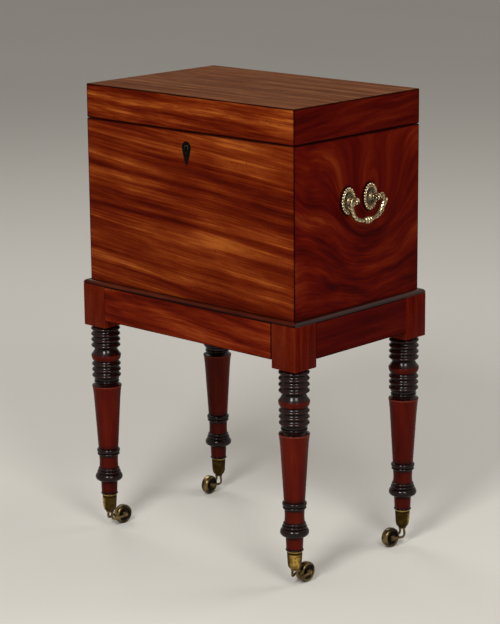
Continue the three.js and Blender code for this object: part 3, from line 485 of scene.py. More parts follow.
def piece(name, bm, materials, body, nodes=(), *, crease=38):
    """Makes the mesh a shown piece, smooth but for edges sharper than crease, in degrees."""
    bmesh.ops.recalc_face_normals(bm, faces=bm.faces)
    limit = math.radians(crease)
    for face in bm.faces:
        face.smooth = True
    for edge in bm.edges:
        if len(edge.link_faces) == 2:
            edge.smooth = edge.calc_face_angle(0) < limit
    mesh = bpy.data.meshes.new(name)
    bm.to_mesh(mesh)
    bm.free()
    for material in materials:
        mesh.materials.append(material)
    made = bpy.data.objects.new(name, mesh)
    bpy.context.scene.collection.objects.link(made)
    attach(made, body)
    if nodes:
        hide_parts(*nodes)


def dress(node, material, ease=0.0):
    """Gives a carried-over solid its material and, where asked, edges eased by some millimetres."""
    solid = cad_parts[node]
    solid.data.materials.clear()
    solid.data.materials.append(material)
    if ease:
        weld = solid.modifiers.new("weld", "WELD")
        weld.merge_threshold = 0.00001
        bevel = solid.modifiers.new("ease", "BEVEL")
        bevel.width = ease * MM
        bevel.segments = 2
        bevel.limit_method = "ANGLE"
        bevel.angle_limit = math.radians(30)
        bevel.harden_normals = True


# Materials

X, Y, Z = Vector((1, 0, 0)), Vector((0, 1, 0)), Vector((0, 0, 1))


def tilted(along, across, degrees):
    """The two axes turned in their plane, so that the grain falls away along the first."""
    turn = math.radians(degrees)
    return along * math.cos(turn) - across * math.sin(turn), across * math.cos(turn) + along * math.sin(turn)


# Colours of each wood from its darkest streak to its lightest
FRONT_TONES = (
    (0.04, 0.0022, 0.0004), (0.07, 0.0045, 0.0006), (0.115, 0.0115, 0.0013),
    (0.18, 0.029, 0.004), (0.31, 0.075, 0.011),
)
SIDE_TONES = (
    (0.027, 0.0005, 0.0002), (0.055, 0.0012, 0.0003), (0.081, 0.0031, 0.0005),
    (0.113, 0.0078, 0.001), (0.165, 0.023, 0.0035),
)
LID_SIDE_TONES = (
    (0.026, 0.0005, 0.0002), (0.047, 0.001, 0.0003), (0.068, 0.0025, 0.0005),
    (0.09, 0.0058, 0.001), (0.125, 0.015, 0.003),
)
# The side rails' tones, darker than the front rail's: painted shade
SHADED_RAIL_SIDE_TONES = (
    (0.02, 0.0003, 0.0001), (0.036, 0.0005, 0.0002), (0.052, 0.001, 0.0003),
    (0.07, 0.0028, 0.0006), (0.1, 0.009, 0.002),
)
TOP_TONES = (
    (0.053, 0.0135, 0.0045), (0.084, 0.0247, 0.0085), (0.113, 0.037, 0.0139),
    (0.142, 0.0505, 0.0195), (0.182, 0.0735, 0.029),
)
RAIL_TONES = (
    (0.046, 0.0025, 0.0004), (0.085, 0.005, 0.0008), (0.122, 0.0098, 0.0015),
    (0.168, 0.021, 0.0033), (0.24, 0.046, 0.0085),
)
BLOCK_TONES = (
    (0.06, 0.003, 0.0006), (0.078, 0.005, 0.001), (0.095, 0.0085, 0.0018),
    (0.112, 0.013, 0.003), (0.14, 0.02, 0.005),
)
# The leg blocks' X-facing sides, darker than their fronts: painted shade
SHADED_BLOCK_SIDE_TONES = (
    (0.024, 0.0005, 0.0002), (0.055, 0.0018, 0.0004), (0.084, 0.0042, 0.0008),
    (0.104, 0.0075, 0.0015), (0.13, 0.013, 0.003),
)
TURNED_TONES = (
    (0.028, 0.001, 0.0003), (0.049, 0.0018, 0.0004), (0.07, 0.0032, 0.0006),
    (0.088, 0.0056, 0.0011), (0.11, 0.0105, 0.0022),
)
INSIDE_TONES = (
    (0.16, 0.06, 0.022), (0.22, 0.09, 0.035), (0.28, 0.12, 0.05),
    (0.34, 0.16, 0.07), (0.4, 0.2, 0.09),
)
MOULDING_TONES = (
    (0.018, 0.002, 0.0006), (0.034, 0.0036, 0.001), (0.054, 0.0068, 0.002),
    (0.085, 0.014, 0.0045),
)
# A darker copy of the moulding's tones for the side runs: painted shade
SHADED_MOULDING_TONES = (
    (0.008, 0.0012, 0.0005), (0.015, 0.002, 0.0008), (0.026, 0.0036, 0.0012),
    (0.045, 0.0075, 0.0025),
)

half_width, half_depth = BOX_WIDTH / 2 * MM, BOX_DEPTH / 2 * MM
box_levels = ((STAND_TOP + JOINT_GAP) * MM, BOX_RIM * MM)
lid_levels = (LID_BASE * MM, LID_TOP * MM)
rail_levels = ((STAND_TOP - RAIL_HEIGHT) * MM, STAND_TOP * MM)


def box_edges(axis, half, levels):
    """The darkened edges of a wall: its two sides, and its foot and rim."""
    return (axis, -half, half, 0.0016), (Z, *levels, 0.0022)


front_grain = tilted(X, Z, 4.5)
keyhole = Z * (KEYHOLE_LEVEL - 2.9) * MM
keyhole_halo = (keyhole.dot(front_grain[0]), keyhole.dot(front_grain[1]), 0.0052, 0.011)
front_wood = wood(
    "front_mahogany", FRONT_TONES, *front_grain, stretch=1.7, bands=46, seed=2.3, warp=0.009, streaks=9.0,
    edges=box_edges(X, half_width, box_levels), blend=(0.5, 0.27, 0.02, 0.21), spread=0.82, pits=0.5,
    pecks=0.2, dirt_and_shade_rings=(keyhole_halo,))
lid_front_wood = wood(
    "lid_front_mahogany", FRONT_TONES, *tilted(X, Z, 2.0), stretch=2.8, bands=52, seed=7.9, warp=0.007,
    edges=box_edges(X, half_width, lid_levels), spread=0.72, pits=0.3, pecks=0.15)
side_knots = ((0.035, 0.605, 0.1, 0.14, 0.0), (-0.12, 0.64, 0.05, 0.03, 0.0))
# Painted shade round the handles' rosettes, standing in for their shadow
rosette_shade_rings = [
    (end * POST_SPACING / 2 * MM, HANDLE_LEVEL * MM, ROSETTE_HALF_WIDTH * MM, ROSETTE_HALF_HEIGHT * MM)
    for end in (-1, 1)
]
side_wood = wood(
    "side_mahogany", SIDE_TONES, Y, Z, stretch=8.0, bands=38, seed=4.4, warp=0.04, warp_scale=8.0,
    knots=side_knots, edges=box_edges(Y, half_depth, box_levels), blend=(0.22, 0.24, 0.02, 0.52),
    spread=0.73, pits=0.12, dirt_and_shade_rings=rosette_shade_rings)
lid_side_wood = wood(
    "lid_side_mahogany", LID_SIDE_TONES, *tilted(Y, Z, -6), stretch=6.0, bands=60, seed=1.2, warp=0.03,
    edges=box_edges(Y, half_depth, lid_levels), spread=1.1, pits=0.15)
back_wood = wood(
    "back_mahogany", RAIL_TONES, X, Z, stretch=4.0, bands=40, seed=11.0, warp=0.02,
    edges=box_edges(X, half_width, box_levels), pits=0.3)
lid_back_wood = wood(
    "lid_back_mahogany", RAIL_TONES, X, Z, stretch=4.0, bands=40, seed=12.4, warp=0.01,
    edges=box_edges(X, half_width, lid_levels), pits=0.3)
top_wood = wood(
    "top_mahogany", TOP_TONES, X, Y, stretch=2.2, bands=60, seed=5.5, warp=0.012, warp_scale=3.0,
    edges=((X, -half_width, half_width, 0.0012), (Y, -half_depth, half_depth, 0.0012)),
    blend=(0.4, 0.5, 0.02, 0.08), spread=0.74, shine=0.002, coat=0.0, roughness=0.42, pits=0.12,
    fresh_below=(LID_TOP - 3) * MM)
half_rail = (STAND_WIDTH / 2 - BLOCK_SIZE) * MM
rail_front_wood = wood(
    "rail_front_mahogany", RAIL_TONES, *tilted(X, Z, 3), stretch=5.0, bands=70, seed=3.1, warp=0.012,
    edges=((Z, *rail_levels, 0.0012), (X, -half_rail, half_rail, 0.0016)), spread=0.8, pits=0.3)
# The side rails' wood, a darker copy of the front rail's: painted shade
shaded_rail_side_wood = wood(
    "rail_side_shaded_mahogany", SHADED_RAIL_SIDE_TONES, Y, Z, stretch=5.0, bands=55, seed=8.6, warp=0.01,
    edges=((Z, *rail_levels, 0.0012),), spread=1.2, pits=0.2)
block_wood = wood(
    "block_mahogany", BLOCK_TONES, Z, X, stretch=14.0, bands=60, seed=6.2, warp=0.008, pits=0.6, pecks=0.7,
    blend=(0.35, 0.2, 0.03, 0.42), spread=0.8, grime_and_shade=(0.006, 0.0015, 0.001))
# A darker copy of the block wood for its X-facing sides: painted shade
shaded_block_side_wood = wood(
    "block_side_shaded_mahogany", SHADED_BLOCK_SIDE_TONES, Z, Y, stretch=3.0, bands=150, seed=3.9, warp=0.004, pits=0.4,
    pecks=0.4, blend=(0.4, 0.25, 0.02, 0.33), spread=0.95, grime_and_shade=(0.006, 0.0015, 0.001))
turned_wood = wood(
    "turned_mahogany", TURNED_TONES, Z, X, stretch=5.0, bands=55, seed=9.4, warp=0.004, shine=0.03,
    roughness=0.3, coat=0.08, pits=0.15, blend=(0.45, 0.15, 0.02, 0.38), grime_and_shade=(0.0045, 0.0018, 0.0015))
ebonised_wood = wood(
    "ebonised_mahogany", TURNED_TONES, Z, X, stretch=5.0, bands=80, seed=9.4, warp=0.004, shine=0.03,
    roughness=0.3, coat=0.42, gloss=0.16, pits=0.1, grime_and_shade=(0.003, 0.001, 0.0008))
moulding_wood = wood(
    "moulding_mahogany", MOULDING_TONES, X, Z, stretch=5.0, bands=60, seed=2.0, warp=0.004, shine=0.04,
    roughness=0.34, coat=0.07, pits=0.3, spread=0.8, grime_and_shade=(0.0025, 0.001, 0.0006))
# The side runs' moulding wood, darker than the front's: painted shade
shaded_moulding_side_wood = wood(
    "moulding_side_shaded_mahogany", SHADED_MOULDING_TONES, Y, Z, stretch=5.0, bands=60, seed=2.9, warp=0.004,
    shine=0.05, roughness=0.34, coat=0.7, gloss=0.2, pits=0.3, spread=0.8, grime_and_shade=(0.0025, 0.001, 0.0006))
inside_wood = wood(
    "inside_wood", INSIDE_TONES, X, Y, stretch=3.0, bands=40, seed=3.3, warp=0.02, shine=0.25,
    roughness=0.6, coat=0.0, pits=0.2)
divider_wood = wood(
    "divider_wood", INSIDE_TONES, X, Z, stretch=3.0, bands=40, seed=6.8, warp=0.02, shine=0.25,
    roughness=0.6, coat=0.0, pits=0.2)
divider_cross_wood = wood(
    "divider_cross_wood", INSIDE_TONES, Y, Z, stretch=3.0, bands=40, seed=4.1, warp=0.02, shine=0.25,
    roughness=0.6, coat=0.0, pits=0.2)
lead = plain("lead", (0.19, 0.2, 0.215), (0.3, 0.31, 0.32), roughness=0.62, scale=16, metallic=0.6)
ebony = plain("ebony", (0.0012, 0.0014, 0.001), (0.004, 0.0035, 0.0025),
              roughness=0.28, scale=150, shine=0.04)
liner_brass = metal("liner_brass", (0.2, 0.21, 0.15), (0.035, 0.035, 0.022), (0.003, 0.003, 0.002),
                    roughness=0.3, scale=500)
handle_brass = metal("handle_brass", (0.84, 0.68, 0.42), (0.2, 0.13, 0.06), (0.005, 0.0035, 0.002),
                     roughness=0.24, worn=0.06, scale=330)
cup_brass = metal("cup_brass", (0.55, 0.36, 0.085), (0.25, 0.14, 0.028), (0.016, 0.008, 0.002),
                  roughness=0.4, scale=110)
horn_brass = metal("horn_brass", (0.3, 0.21, 0.09), (0.12, 0.08, 0.035), (0.02, 0.014, 0.008),
                   roughness=0.42, scale=90)
wheel_brass = metal("wheel_brass", (0.26, 0.18, 0.07), (0.05, 0.033, 0.018), (0.01, 0.007, 0.006),
                    roughness=0.26, scale=60)
hinge_brass = metal("hinge_brass", (0.5, 0.36, 0.13), (0.27, 0.19, 0.08), (0.04, 0.03, 0.02),
                    roughness=0.42, scale=80)
lock_brass = metal("lock_brass", (0.55, 0.4, 0.15), (0.34, 0.24, 0.09), (0.04, 0.03, 0.02),
                   roughness=0.38, scale=60)

# Legs


def reeds(top, count, pitch, root, crest):
    """Ridges with a long upper slope and a short undercut, like stacked rings."""
    points = []
    for k in range(count):
        for j in range(0 if k == 0 else 1, 15):
            t = j / 14
            swell = math.sin(math.pi * t**1.36) ** 1.35
            points.append((root + (crest - root) * swell, top - (k + t) * pitch, 0.97 - 0.12 * swell))
    return points


def rounds(top, drop, root_above, root_below, crest, dark, steps=10):
    """A ring with a half-round section between two radii."""
    points = []
    for j in range(steps + 1):
        t = j / steps
        root = root_above + (root_below - root_above) * t
        radius = root + (crest - root) * math.sin(math.pi * t)
        points.append((radius, top - drop * (1 - math.cos(math.pi * t)) / 2, dark))
    return points


def cove(top, drop, start, end, power):
    """(radius, height) points of a hollow that flares out downwards."""
    return [(start + (end - start) * (j / 8) ** power, top - drop * j / 8) for j in range(9)]


def leg_profile():
    """(radius, height, dark) points down from the block: reeds, vase, reeds, collar, shaft, rings, foot."""
    z = STAND_TOP - BLOCK_HEIGHT
    points = [(0, z + 3, 1.0), (20.4, z + 3, 1.0), (20.4, z - 0.3, 1.0)]
    points += reeds(z - 0.3, 4, 9.8, 20.9, 24.6)
    z -= 39.5
    points += [(19.2, z - 0.6, 1.0), (18.7, z - 1.7, 0.97)]
    z -= 1.7
    points += [(r, h, 0.97 - 0.12 * k / 8) for k, (r, h) in enumerate(cove(z, 9.6, 18.8, 24.3, 1.35))]
    z -= 9.6
    points += [(24.8, z - 0.5, 0.1)]
    # The vase's round darkens towards its underside: painted shade
    for k in range(1, 11):
        angle = (k / 10 * 1.12 - 0.12) * math.pi / 2
        soot_and_shade = 0.2 + 0.6 * (k / 10) ** 2.5
        points.append((19.9 + 5.1 * math.cos(angle), z - 1.9 - 9.3 * math.sin(angle), soot_and_shade))
    z -= 11.4
    points += reeds(z, 3, 9.8, 20.9, 24.4)
    z -= 29.4
    points += [(21.2, z - 1.6, 0.97), (20.9, z - 2.3, 1.0), (18.1, z - 2.7, 1.0), (17.9, z - 4.2, 1.0)]
    points += rounds(z - 4.6, 3.8, 18.0, 18.6, 21.3, 0.95, 12)
    points += [(r, h, 0.93) for r, h in cove(z - 8.4, 5.0, 18.7, 24.4, 1.4)]
    z -= 13.9
    # A painted highlight on the lip at the top of the shaft, where the dark falls below zero
    points += [(24.8, z, 0.3), (25.0, z - 0.6, -0.9), (24.95, z - 1.4, -0.8), (24.8, z - 2.0, 0.0)]
    z -= 2.4
    # The shaft darkens into the rings below it: painted shade
    for k in range(25):
        t = k / 24
        soot_and_shade = max(0.0, (t - 0.93) / 0.07) * 0.8
        points.append((23.5 - 6.6 * t + 1.1 * math.exp(-14 * t), z - 109 * t, soot_and_shade))
    z -= 109
    points += [(16.7, z - 0.3, 1.0)]
    points += rounds(z - 0.5, 7.2, 16.9, 16.8, 19.6, 0.95, 14)
    points += rounds(z - 7.9, 4.2, 16.8, 16.3, 19.0, 0.93)
    z -= 13.2
    # The stem darkens towards the rings at its ends: painted shade
    for k in range(13):
        t = k / 12
        soot_and_shade = 0.15 + 0.75 * abs(2 * t - 1) ** 7
        points.append((16.2 - 0.5 * math.sin(math.pi * t), z - 21.2 * t, soot_and_shade))
    z -= 21.4
    points += rounds(z, 4.7, 16.3, 17.0, 18.2, 0.93)
    points += rounds(z - 4.8, 4.7, 17.2, 18.6, 20.0, 0.93)
    points += rounds(z - 9.6, 13.3, 19.0, 14.6, 23.2, 0.95, 18)
    z -= 22.9
    # The foot darkens towards the rings at its ends: painted shade
    for k in range(13):
        t = k / 12
        points.append((14.3 - 1.0 * t, z - 21.5 * t, 0.2 + 0.7 * abs(2 * t - 1) ** 6))
    z -= 21.7
    points += [(13.0, z - 0.1, 1.0)]
    points += rounds(z - 0.2, 2.6, 13.0, 12.9, 14.5, 0.95, 8)
    points += [(12.4, z - 2.9, 1.0), (0, z - 2.9, 1.0)]
    return points


def make_leg(name, x, y):
    half = BLOCK_SIZE / 2
    place = Matrix.Translation((x, y, 0))
    woods = [block_wood, turned_wood, ebonised_wood, shaded_block_side_wood]
    bm = block((-half, -half, STAND_TOP - BLOCK_HEIGHT), (half, half, STAND_TOP), 1.5, place)
    # The block's X-facing sides take the darker copy of its wood: painted shade
    for face in bm.faces:
        face.normal_update()
        if abs(face.normal.x) > 0.8:
            face.material_index = woods.index(shaded_block_side_wood)
    shade = bm.verts.layers.float["dark"]
    for face in lathe(bm, leg_profile(), 80, place, woods.index(turned_wood)):
        if sum(vert[shade] for vert in face.verts) > 0.8 * len(face.verts):
            face.material_index = woods.index(ebonised_wood)
    piece(f"stand_leg_{name}", bm, woods, "stand", [f"leg_{name}"], crease=40)


for corner, (leg_x, leg_y) in LEG_AXES.items():
    make_leg(corner, leg_x, leg_y)

# The side rails take the darker copy of the rail wood: painted shade
for wall, material in zip(WALLS, (rail_front_wood, shaded_rail_side_wood) * 2):
    dress(f"rail_{wall}", material, 0.6)


# Moulding round the foot of the box


def moulding_profile():
    """(distance in from the stand's edge, height, dark) points of a quarter round on a low lip, darkened next
    to the box and at its foot as painted shade lines.
    """
    points = [(9.4, 0.35, 1.0), (0.5, 0.35, 1.0), (0.2, 0.6, 1.0), (0.2, 1.5, 0.95)]
    for k in range(13):
        angle = k / 12 * math.pi / 2
        # Painted shade lines at the foot of the round and where it meets the box
        soot_and_shade = 0.95 * (k / 12) ** 4 + 0.6 * max(0, 1 - k / 2)
        points.append((0.5 + 8.0 * (1 - math.cos(angle)), 1.6 + 5.7 * math.sin(angle), soot_and_shade))
    return points + [(9.4, 7.35, 1.0)]


def make_moulding(quarter, wall):
    along, across = (STAND_DEPTH, STAND_WIDTH) if quarter % 2 else (STAND_WIDTH, STAND_DEPTH)
    place = Matrix.Rotation(quarter * math.pi / 2, 4, "Z") @ Matrix.Translation((0, -across / 2, STAND_TOP))
    bm = new_mesh()
    rings = []
    for share in (-1, -0.5, 0, 0.5, 1):
        ring = []
        for inward, height, dark in moulding_profile():
            x = share * (along / 2 - inward - 0.2)
            ring.append(add_vert(bm, place @ Vector((x, inward, height)), dark))
        rings.append(ring)
    skin(bm, rings, caps=(True, True))
    # The side runs take the darker copy of the moulding wood: painted shade
    material = shaded_moulding_side_wood if quarter % 2 else moulding_wood
    piece(f"foot_moulding_{wall}", bm, [material], "stand", [f"moulding_{wall}"],
          crease=30)


for quarter, wall in enumerate(WALLS):
    make_moulding(quarter, wall)


# Castors

# TRAIL is how far the axle lies behind the pivot, and KNEE the height of the horn's lowest bend
CUP_FOOT = 29.0
TRAIL, WHEEL_RADIUS = 28.0, 16.25
AXLE_SPAN, ARM_SPREAD, KNEE = 7.9, 4.8, 13.6


def make_castor(name, x, y):
    """The cup on the leg's foot, the horn that swivels in it, and the wheel."""
    axis = Matrix.Translation((x, y, 0))
    turn = axis @ Matrix.Rotation(math.radians(CASTOR_TURNS[name]), 4, "Z")
    bm = new_mesh()
    outer = [(3.4, CUP_FOOT, 1.0)]
    # The rounded bottom of the cup darkens downwards: painted shade
    for k in range(13):
        angle = k / 12 * math.pi / 2
        soot_and_shade = 0.6 * (1 - k / 12) ** 2
        outer.append((6.3 + 5.0 * math.sin(angle), CUP_FOOT + 10.4 * (1 - math.cos(angle)), soot_and_shade))
    for radius, height, dark in (
        (11.55, 14, 0.0), (11.9, 19, 0.0), (12.15, 24.6, 0.1), (12.2, 25.6, 0.7), (12.15, 26.2, 1.0),
        (12.2, 28.6, 0.9), (12.7, 29.2, 0.4), (13.0, 29.7, 0.0), (13.0, 30.5, 0.0), (12.7, 30.95, 0.2),
        (11.0, 31, 1.0), (10.8, 25, 1.0), (6.0, 3, 1.0), (3.4, 3, 1.0),
    ):
        outer.append((radius, CUP_FOOT + height, dark))
    lathe(bm, outer + [outer[0]], 56, axis)
    facing = Vector((math.copysign(1, x), math.copysign(1, y), 0)).normalized()
    shade = bm.verts.layers.float["dark"]
    # Painted shade on the cup's flanks; it stays bright where it faces out along the diagonal, as a painted
    # highlight
    for vert in bm.verts:
        away = Vector((vert.co.x / MM - x, vert.co.y / MM - y, 0))
        painted_highlight = away.normalized().dot(facing) if away.length > 1 else 1
        if vert.co.z / MM < CUP_FOOT + 29:
            painted_flank_shade = min(max((0.9 - painted_highlight) / 0.3, 0), 1)
            vert[shade] = max(vert[shade], 0.88 * painted_flank_shade)
    for level in (43.5, 49.5):
        at = Vector((x, y, level)) + facing * (11.75 + 0.05 * (level - 43.5))
        screw(bm, at, facing, 1.25, level, 0.62)
    piece(f"brass_cup_{name}", bm, [cup_brass], "stand", [f"castor_cup_{name}"])

    bm = new_mesh()
    pivot = [(0, 25.6, 0.6), (5.2, 25.6, 0.6), (6.6, 26.3, 0.2), (6.6, 27.9, 0.2), (5.6, 28.65, 0.8),
             (3.0, 28.7, 1.0), (3.0, 32.4, 1.0), (4.6, 32.4, 1.0), (4.6, 33.9, 1.0), (0, 33.9, 1.0)]
    lathe(bm, pivot, 28, turn)
    wide = AXLE_SPAN + 1.1 - ARM_SPREAD
    high = CUP_FOOT - 0.3 - 1.5 - KNEE
    shares = [(0.04, 0, 1.0), (0.0, 0.05, 0.45), (0.06, 0.3, 0.08), (0.26, 0.72, 0.0), (0.48, 1, 0.08)]
    arm = [(TRAIL * back, ARM_SPREAD + wide * out, KNEE + high * up) for back, out, up in shares]
    arm.append((TRAIL, ARM_SPREAD + wide, WHEEL_RADIUS))
    for sign in (-1, 1):
        path = [Vector((px, sign * py, pz)) for px, py, pz in smooth_path(arm, 6)]
        count = len(path) - 1
        stations = []
        for i, at in enumerate(path):
            stations.append((at, Y, 2.3 - 0.3 * math.sin(math.pi * i / count), 1.1, 0.25))
        tube(bm, stations, 12, turn, square=0.7)
        eye = turn @ Matrix.Translation((TRAIL, sign * AXLE_SPAN, WHEEL_RADIUS))
        disc = [(0, 0, 0.8), (4.2, 0, 0.6), (4.6, 0.4, 0.3), (4.6, 1.8, 0.2), (4.3, 2.2, 0.6),
                (3.2, 2.2, 1.0), (3.1, 2.5, 0.3), (2.3, 2.95, 0.1), (1.0, 3.1, 0.0), (0, 3.1, 0.0)]
        lathe(bm, disc, 24, eye @ Matrix.Rotation(-sign * math.pi / 2, 4, "X"))
    across = turn @ Matrix.Translation((TRAIL, 0, WHEEL_RADIUS)) @ Matrix.Rotation(math.pi / 2, 4, "X")
    lathe(bm, [(0, -8.7, 1.0), (2.0, -8.7, 1.0), (2.0, 8.7, 1.0), (0, 8.7, 1.0)], 16, across)
    piece(f"brass_horn_{name}", bm, [horn_brass], f"castor_{name}", [f"castor_horn_{name}"])

    bm = new_mesh()
    side = [(2.4, 7.5, 0.9), (4.6, 7.5, 0.3), (5.0, 7.1, 0.3), (5.0, 4.6, 0.9), (5.9, 4.1, 1.0),
            (9.4, 4.2, 0.9), (11.4, 4.9, 1.0), (12.0, 5.8, 0.5), (13.0, 6.4, 0.3), (14.3, 6.35, 0.2),
            (15.2, 5.6, 0.2), (15.8, 4.4, 0.1), (16.15, 2.8, 0.0), (WHEEL_RADIUS, 1.0, 0.0)]
    whole = side + [(r, -h, d) for r, h, d in reversed(side)] + [side[0]]
    lathe(bm, whole, 56, across)
    piece(f"brass_wheel_{name}", bm, [wheel_brass], f"wheel_{name}", [f"castor_wheel_{name}"],
          crease=50)


for corner, (leg_x, leg_y) in LEG_AXES.items():
    make_castor(corner, leg_x, leg_y)


# Box and lid

for part, woods in (
    ("box", (front_wood, side_wood, back_wood, side_wood)),
    ("lid", (lid_front_wood, lid_side_wood, lid_back_wood, lid_side_wood)),
):
    for wall, material in zip(WALLS, woods):
        dress(f"{part}_{wall}", material, 0.5)
dress("lid_top", top_wood, 0.4)
dress("box_floor", inside_wood)
dress("lead_lining", lead, 0.3)
for k in (1, 2):
    dress(f"divider_long_{k}", divider_wood, 0.5)
for k in (1, 2, 3):
    dress(f"divider_cross_{k}", divider_cross_wood, 0.5)
dress("keyhole_escutcheon", ebony, 0.2)
for node in ("lock_case", "lock_bolt", "lock_link_plate"):
    dress(node, lock_brass, 0.2)
for side in SIDES:
    for part in ("lower", "upper", "pin"):
        dress(f"hinge_{part}_{side}", hinge_brass, 0.25)


def make_keyhole_liner():
    """A thin brass sleeve round the keyhole, whose slot hangs below its round part."""
    radius, slot, length = 3.2, 1.3, 10.4
    half_gap = math.asin(slot / radius)
    outline = [(slot, -length)]
    for k in range(21):
        angle = half_gap - math.pi / 2 + k / 20 * (2 * math.pi - 2 * half_gap)
        outline.append((radius * math.cos(angle), radius * math.sin(angle)))
    outline.append((-slot, -length))
    bm = new_mesh()
    rows = []
    section = ((-0.1, 0.4, 0.9), (-0.1, -0.42, 0.2), (0.15, -0.55, 0.0), (0.5, -0.5, 0.1), (0.6, -0.3, 0.8))
    for spread, y, dark in section:
        row = []
        for px, pz in outline:
            grow = 1 + spread / math.hypot(px, pz)
            row.append(add_vert(bm, (px * grow, -BOX_DEPTH / 2 + y, KEYHOLE_LEVEL + pz * grow), dark))
        rows.append(row)
    skin(bm, rows + [rows[0]])
    piece("keyhole_liner", bm, [liner_brass], "box")


make_keyhole_liner()


def make_fixings():
    """Screws of the lock, its link plate and the hinges."""
    inner_face = -BOX_DEPTH / 2 + WALL
    lock_y = inner_face - 1.3 - 3.8
    bm = new_mesh()
    for x in (-27, 27):
        screw(bm, Vector((x, lock_y - 1.0, BOX_RIM)), Z, 2.1, 0.5 + x)
    for x in (-24, 24):
        for z in (BOX_RIM - 9, BOX_RIM - 38):
            screw(bm, Vector((x, inner_face, z)), Y, 1.9, x + z)
    piece("lock_screws", bm, [lock_brass], "box")
    bm = new_mesh()
    for x in (-24, 24, 0):
        screw(bm, Vector((x, lock_y + (3.9 if x else 0), LID_BASE)), -Z, 1.6, 0.9 * x)
    piece("link_plate_screws", bm, [lock_brass], "lid")
    for sign, side in ((-1, "left"), (1, "right")):
        x = sign * (BOX_WIDTH / 2 - 90)
        level = (BOX_RIM + LID_BASE) / 2
        for body, up in (("box", 1), ("lid", -1)):
            bm = new_mesh()
            for k in (-1, 0, 1):
                at = Vector((x + k * 20, BOX_DEPTH / 2 + 2.5 - 8.6, level - up * 0.3))
                screw(bm, at, Z * up, 1.7, k + sign)
            piece(f"hinge_screws_{body}_{side}", bm, [hinge_brass], body)


# Carrying handles


def rosette_shape(share, angle):
    """Height and darkness of the oval plate at a share of its radius."""
    if share < 0.26:
        return 3.2, 0.7
    if share < 0.7:
        t = (share - 0.26) / 0.44
        bowl = math.sin(math.pi * t)
        flute = math.cos(20 * angle)
        return 3.2 + 0.2 * t - 1.6 * bowl + 0.5 * flute * bowl, 0.7 + 0.28 * bowl - 0.3 * flute * bowl
    if share < 0.81:
        ridge = math.sin(math.pi * (share - 0.7) / 0.11)
        notch = math.cos(40 * angle)
        return 3.4 + (0.9 + 0.25 * notch) * ridge, 0.6 - 0.45 * ridge - 0.35 * notch
    if share < 0.905:
        return 2.2, 1.0
    return 1.2 if share < 0.915 else 0.2, 1.0


def make_handle(side, sign):
    """Two beaded rosettes with their posts, and the bail between them."""
    root = Matrix.Translation((sign * BOX_WIDTH / 2, 0, HANDLE_LEVEL))
    if sign < 0:
        root = root @ Matrix.Rotation(math.pi, 4, "Z")
    outwards = Matrix.Rotation(math.pi / 2, 4, "Y")
    for end, name in ((-1, "front"), (1, "back")):
        seat = root @ Matrix.Translation((0, end * sign * POST_SPACING / 2, 0))
        bm = new_mesh()
        rings = []
        shares = [0.14, 0.2, 0.26] + [0.26 + 0.44 * k / 10 for k in range(1, 11)]
        shares += [0.72, 0.74, 0.755, 0.77, 0.79, 0.81, 0.86, 0.9, 0.91, 0.92]
        for share in shares:
            ring = []
            for k in range(160):
                angle = 2 * math.pi * k / 160
                height, dark = rosette_shape(share, angle)
                y = ROSETTE_HALF_WIDTH * share * math.cos(angle)
                z = ROSETTE_HALF_HEIGHT * share * math.sin(angle)
                ring.append(add_vert(bm, seat @ Vector((height, y, z)), dark))
            rings.append(ring)
        skin(bm, rings, caps=(True, True))
        for k in range(23):
            angle = 2 * math.pi * (k - 0.3 * math.sin(4 * math.pi * k / 23)) / 23
            bead(bm, (2.4, 14.15 * math.cos(angle), 19.65 * math.sin(angle)), 2.25, seat, 12)
        piece(f"oval_rosette_{name}_{side}", bm, [handle_brass], "box", [f"rosette_{name}_{side}"],
              crease=50)

        bm = new_mesh()
        post = [(0, 2.0, 1.0), (4.4, 2.0, 1.0), (5.4, 3.9, 0.6), (5.5, 4.6, 0.1), (5.0, 5.5, 0.2),
                (4.0, 6.1, 0.8), (3.1, 7.2, 0.6), (2.9, 8.6, 0.3), (3.1, 9.6, 0.5), (3.9, 10.1, 0.1),
                (4.0, 10.9, 0.0), (3.4, 11.6, 0.8), (3.0, 12.4, 0.9), (2.9, 15.5, 0.9), (0, 15.5, 0.9)]
        lathe(bm, post, 32, seat @ outwards)
        head = seat @ Matrix.Translation((POST_REACH, 0, 0)) @ Matrix.Rotation(math.pi / 2, 4, "X")
        face = [(0, 3.9, 0.0), (0.9, 3.8, 0.1), (1.3, 3.3, 0.8), (1.8, 2.9, 1.0), (2.4, 2.9, 1.0),
                (2.9, 3.3, 0.4), (3.3, 3.4, 0.0), (3.9, 2.9, 0.1), (4.3, 2.1, 0.5), (4.3, 1.2, 1.0),
                (4.1, 0.0, 1.0)]
        lathe(bm, face + [(r, -h, d) for r, h, d in reversed(face[:-1])], 32, head)
        neck = [(7.4, 1.6, 2.5), (10.6, 4.4, 2.3), (14.6, 6.2, 2.0), (18.8, 6.2, 1.8), (22.0, 4.4, 1.5),
                (23.6, 1.2, 1.1)]
        stations = [(Vector((out, 0, up)), Y, 0.75 * thick, 1.5 * thick, 0.0)
                    for out, up, thick in smooth_path(neck, 5)]
        tube(bm, stations, 10, seat, square=0.6)
        piece(f"swan_post_{name}_{side}", bm, [handle_brass], "box", [f"handle_post_{name}_{side}"],
              crease=45)
    make_bail(side, root @ Matrix.Translation((POST_REACH, 0, 0)))


# The bail's half width, its drop and its greatest radius
SPAN, DROP, THICK = 38.4, 32.0, 4.05


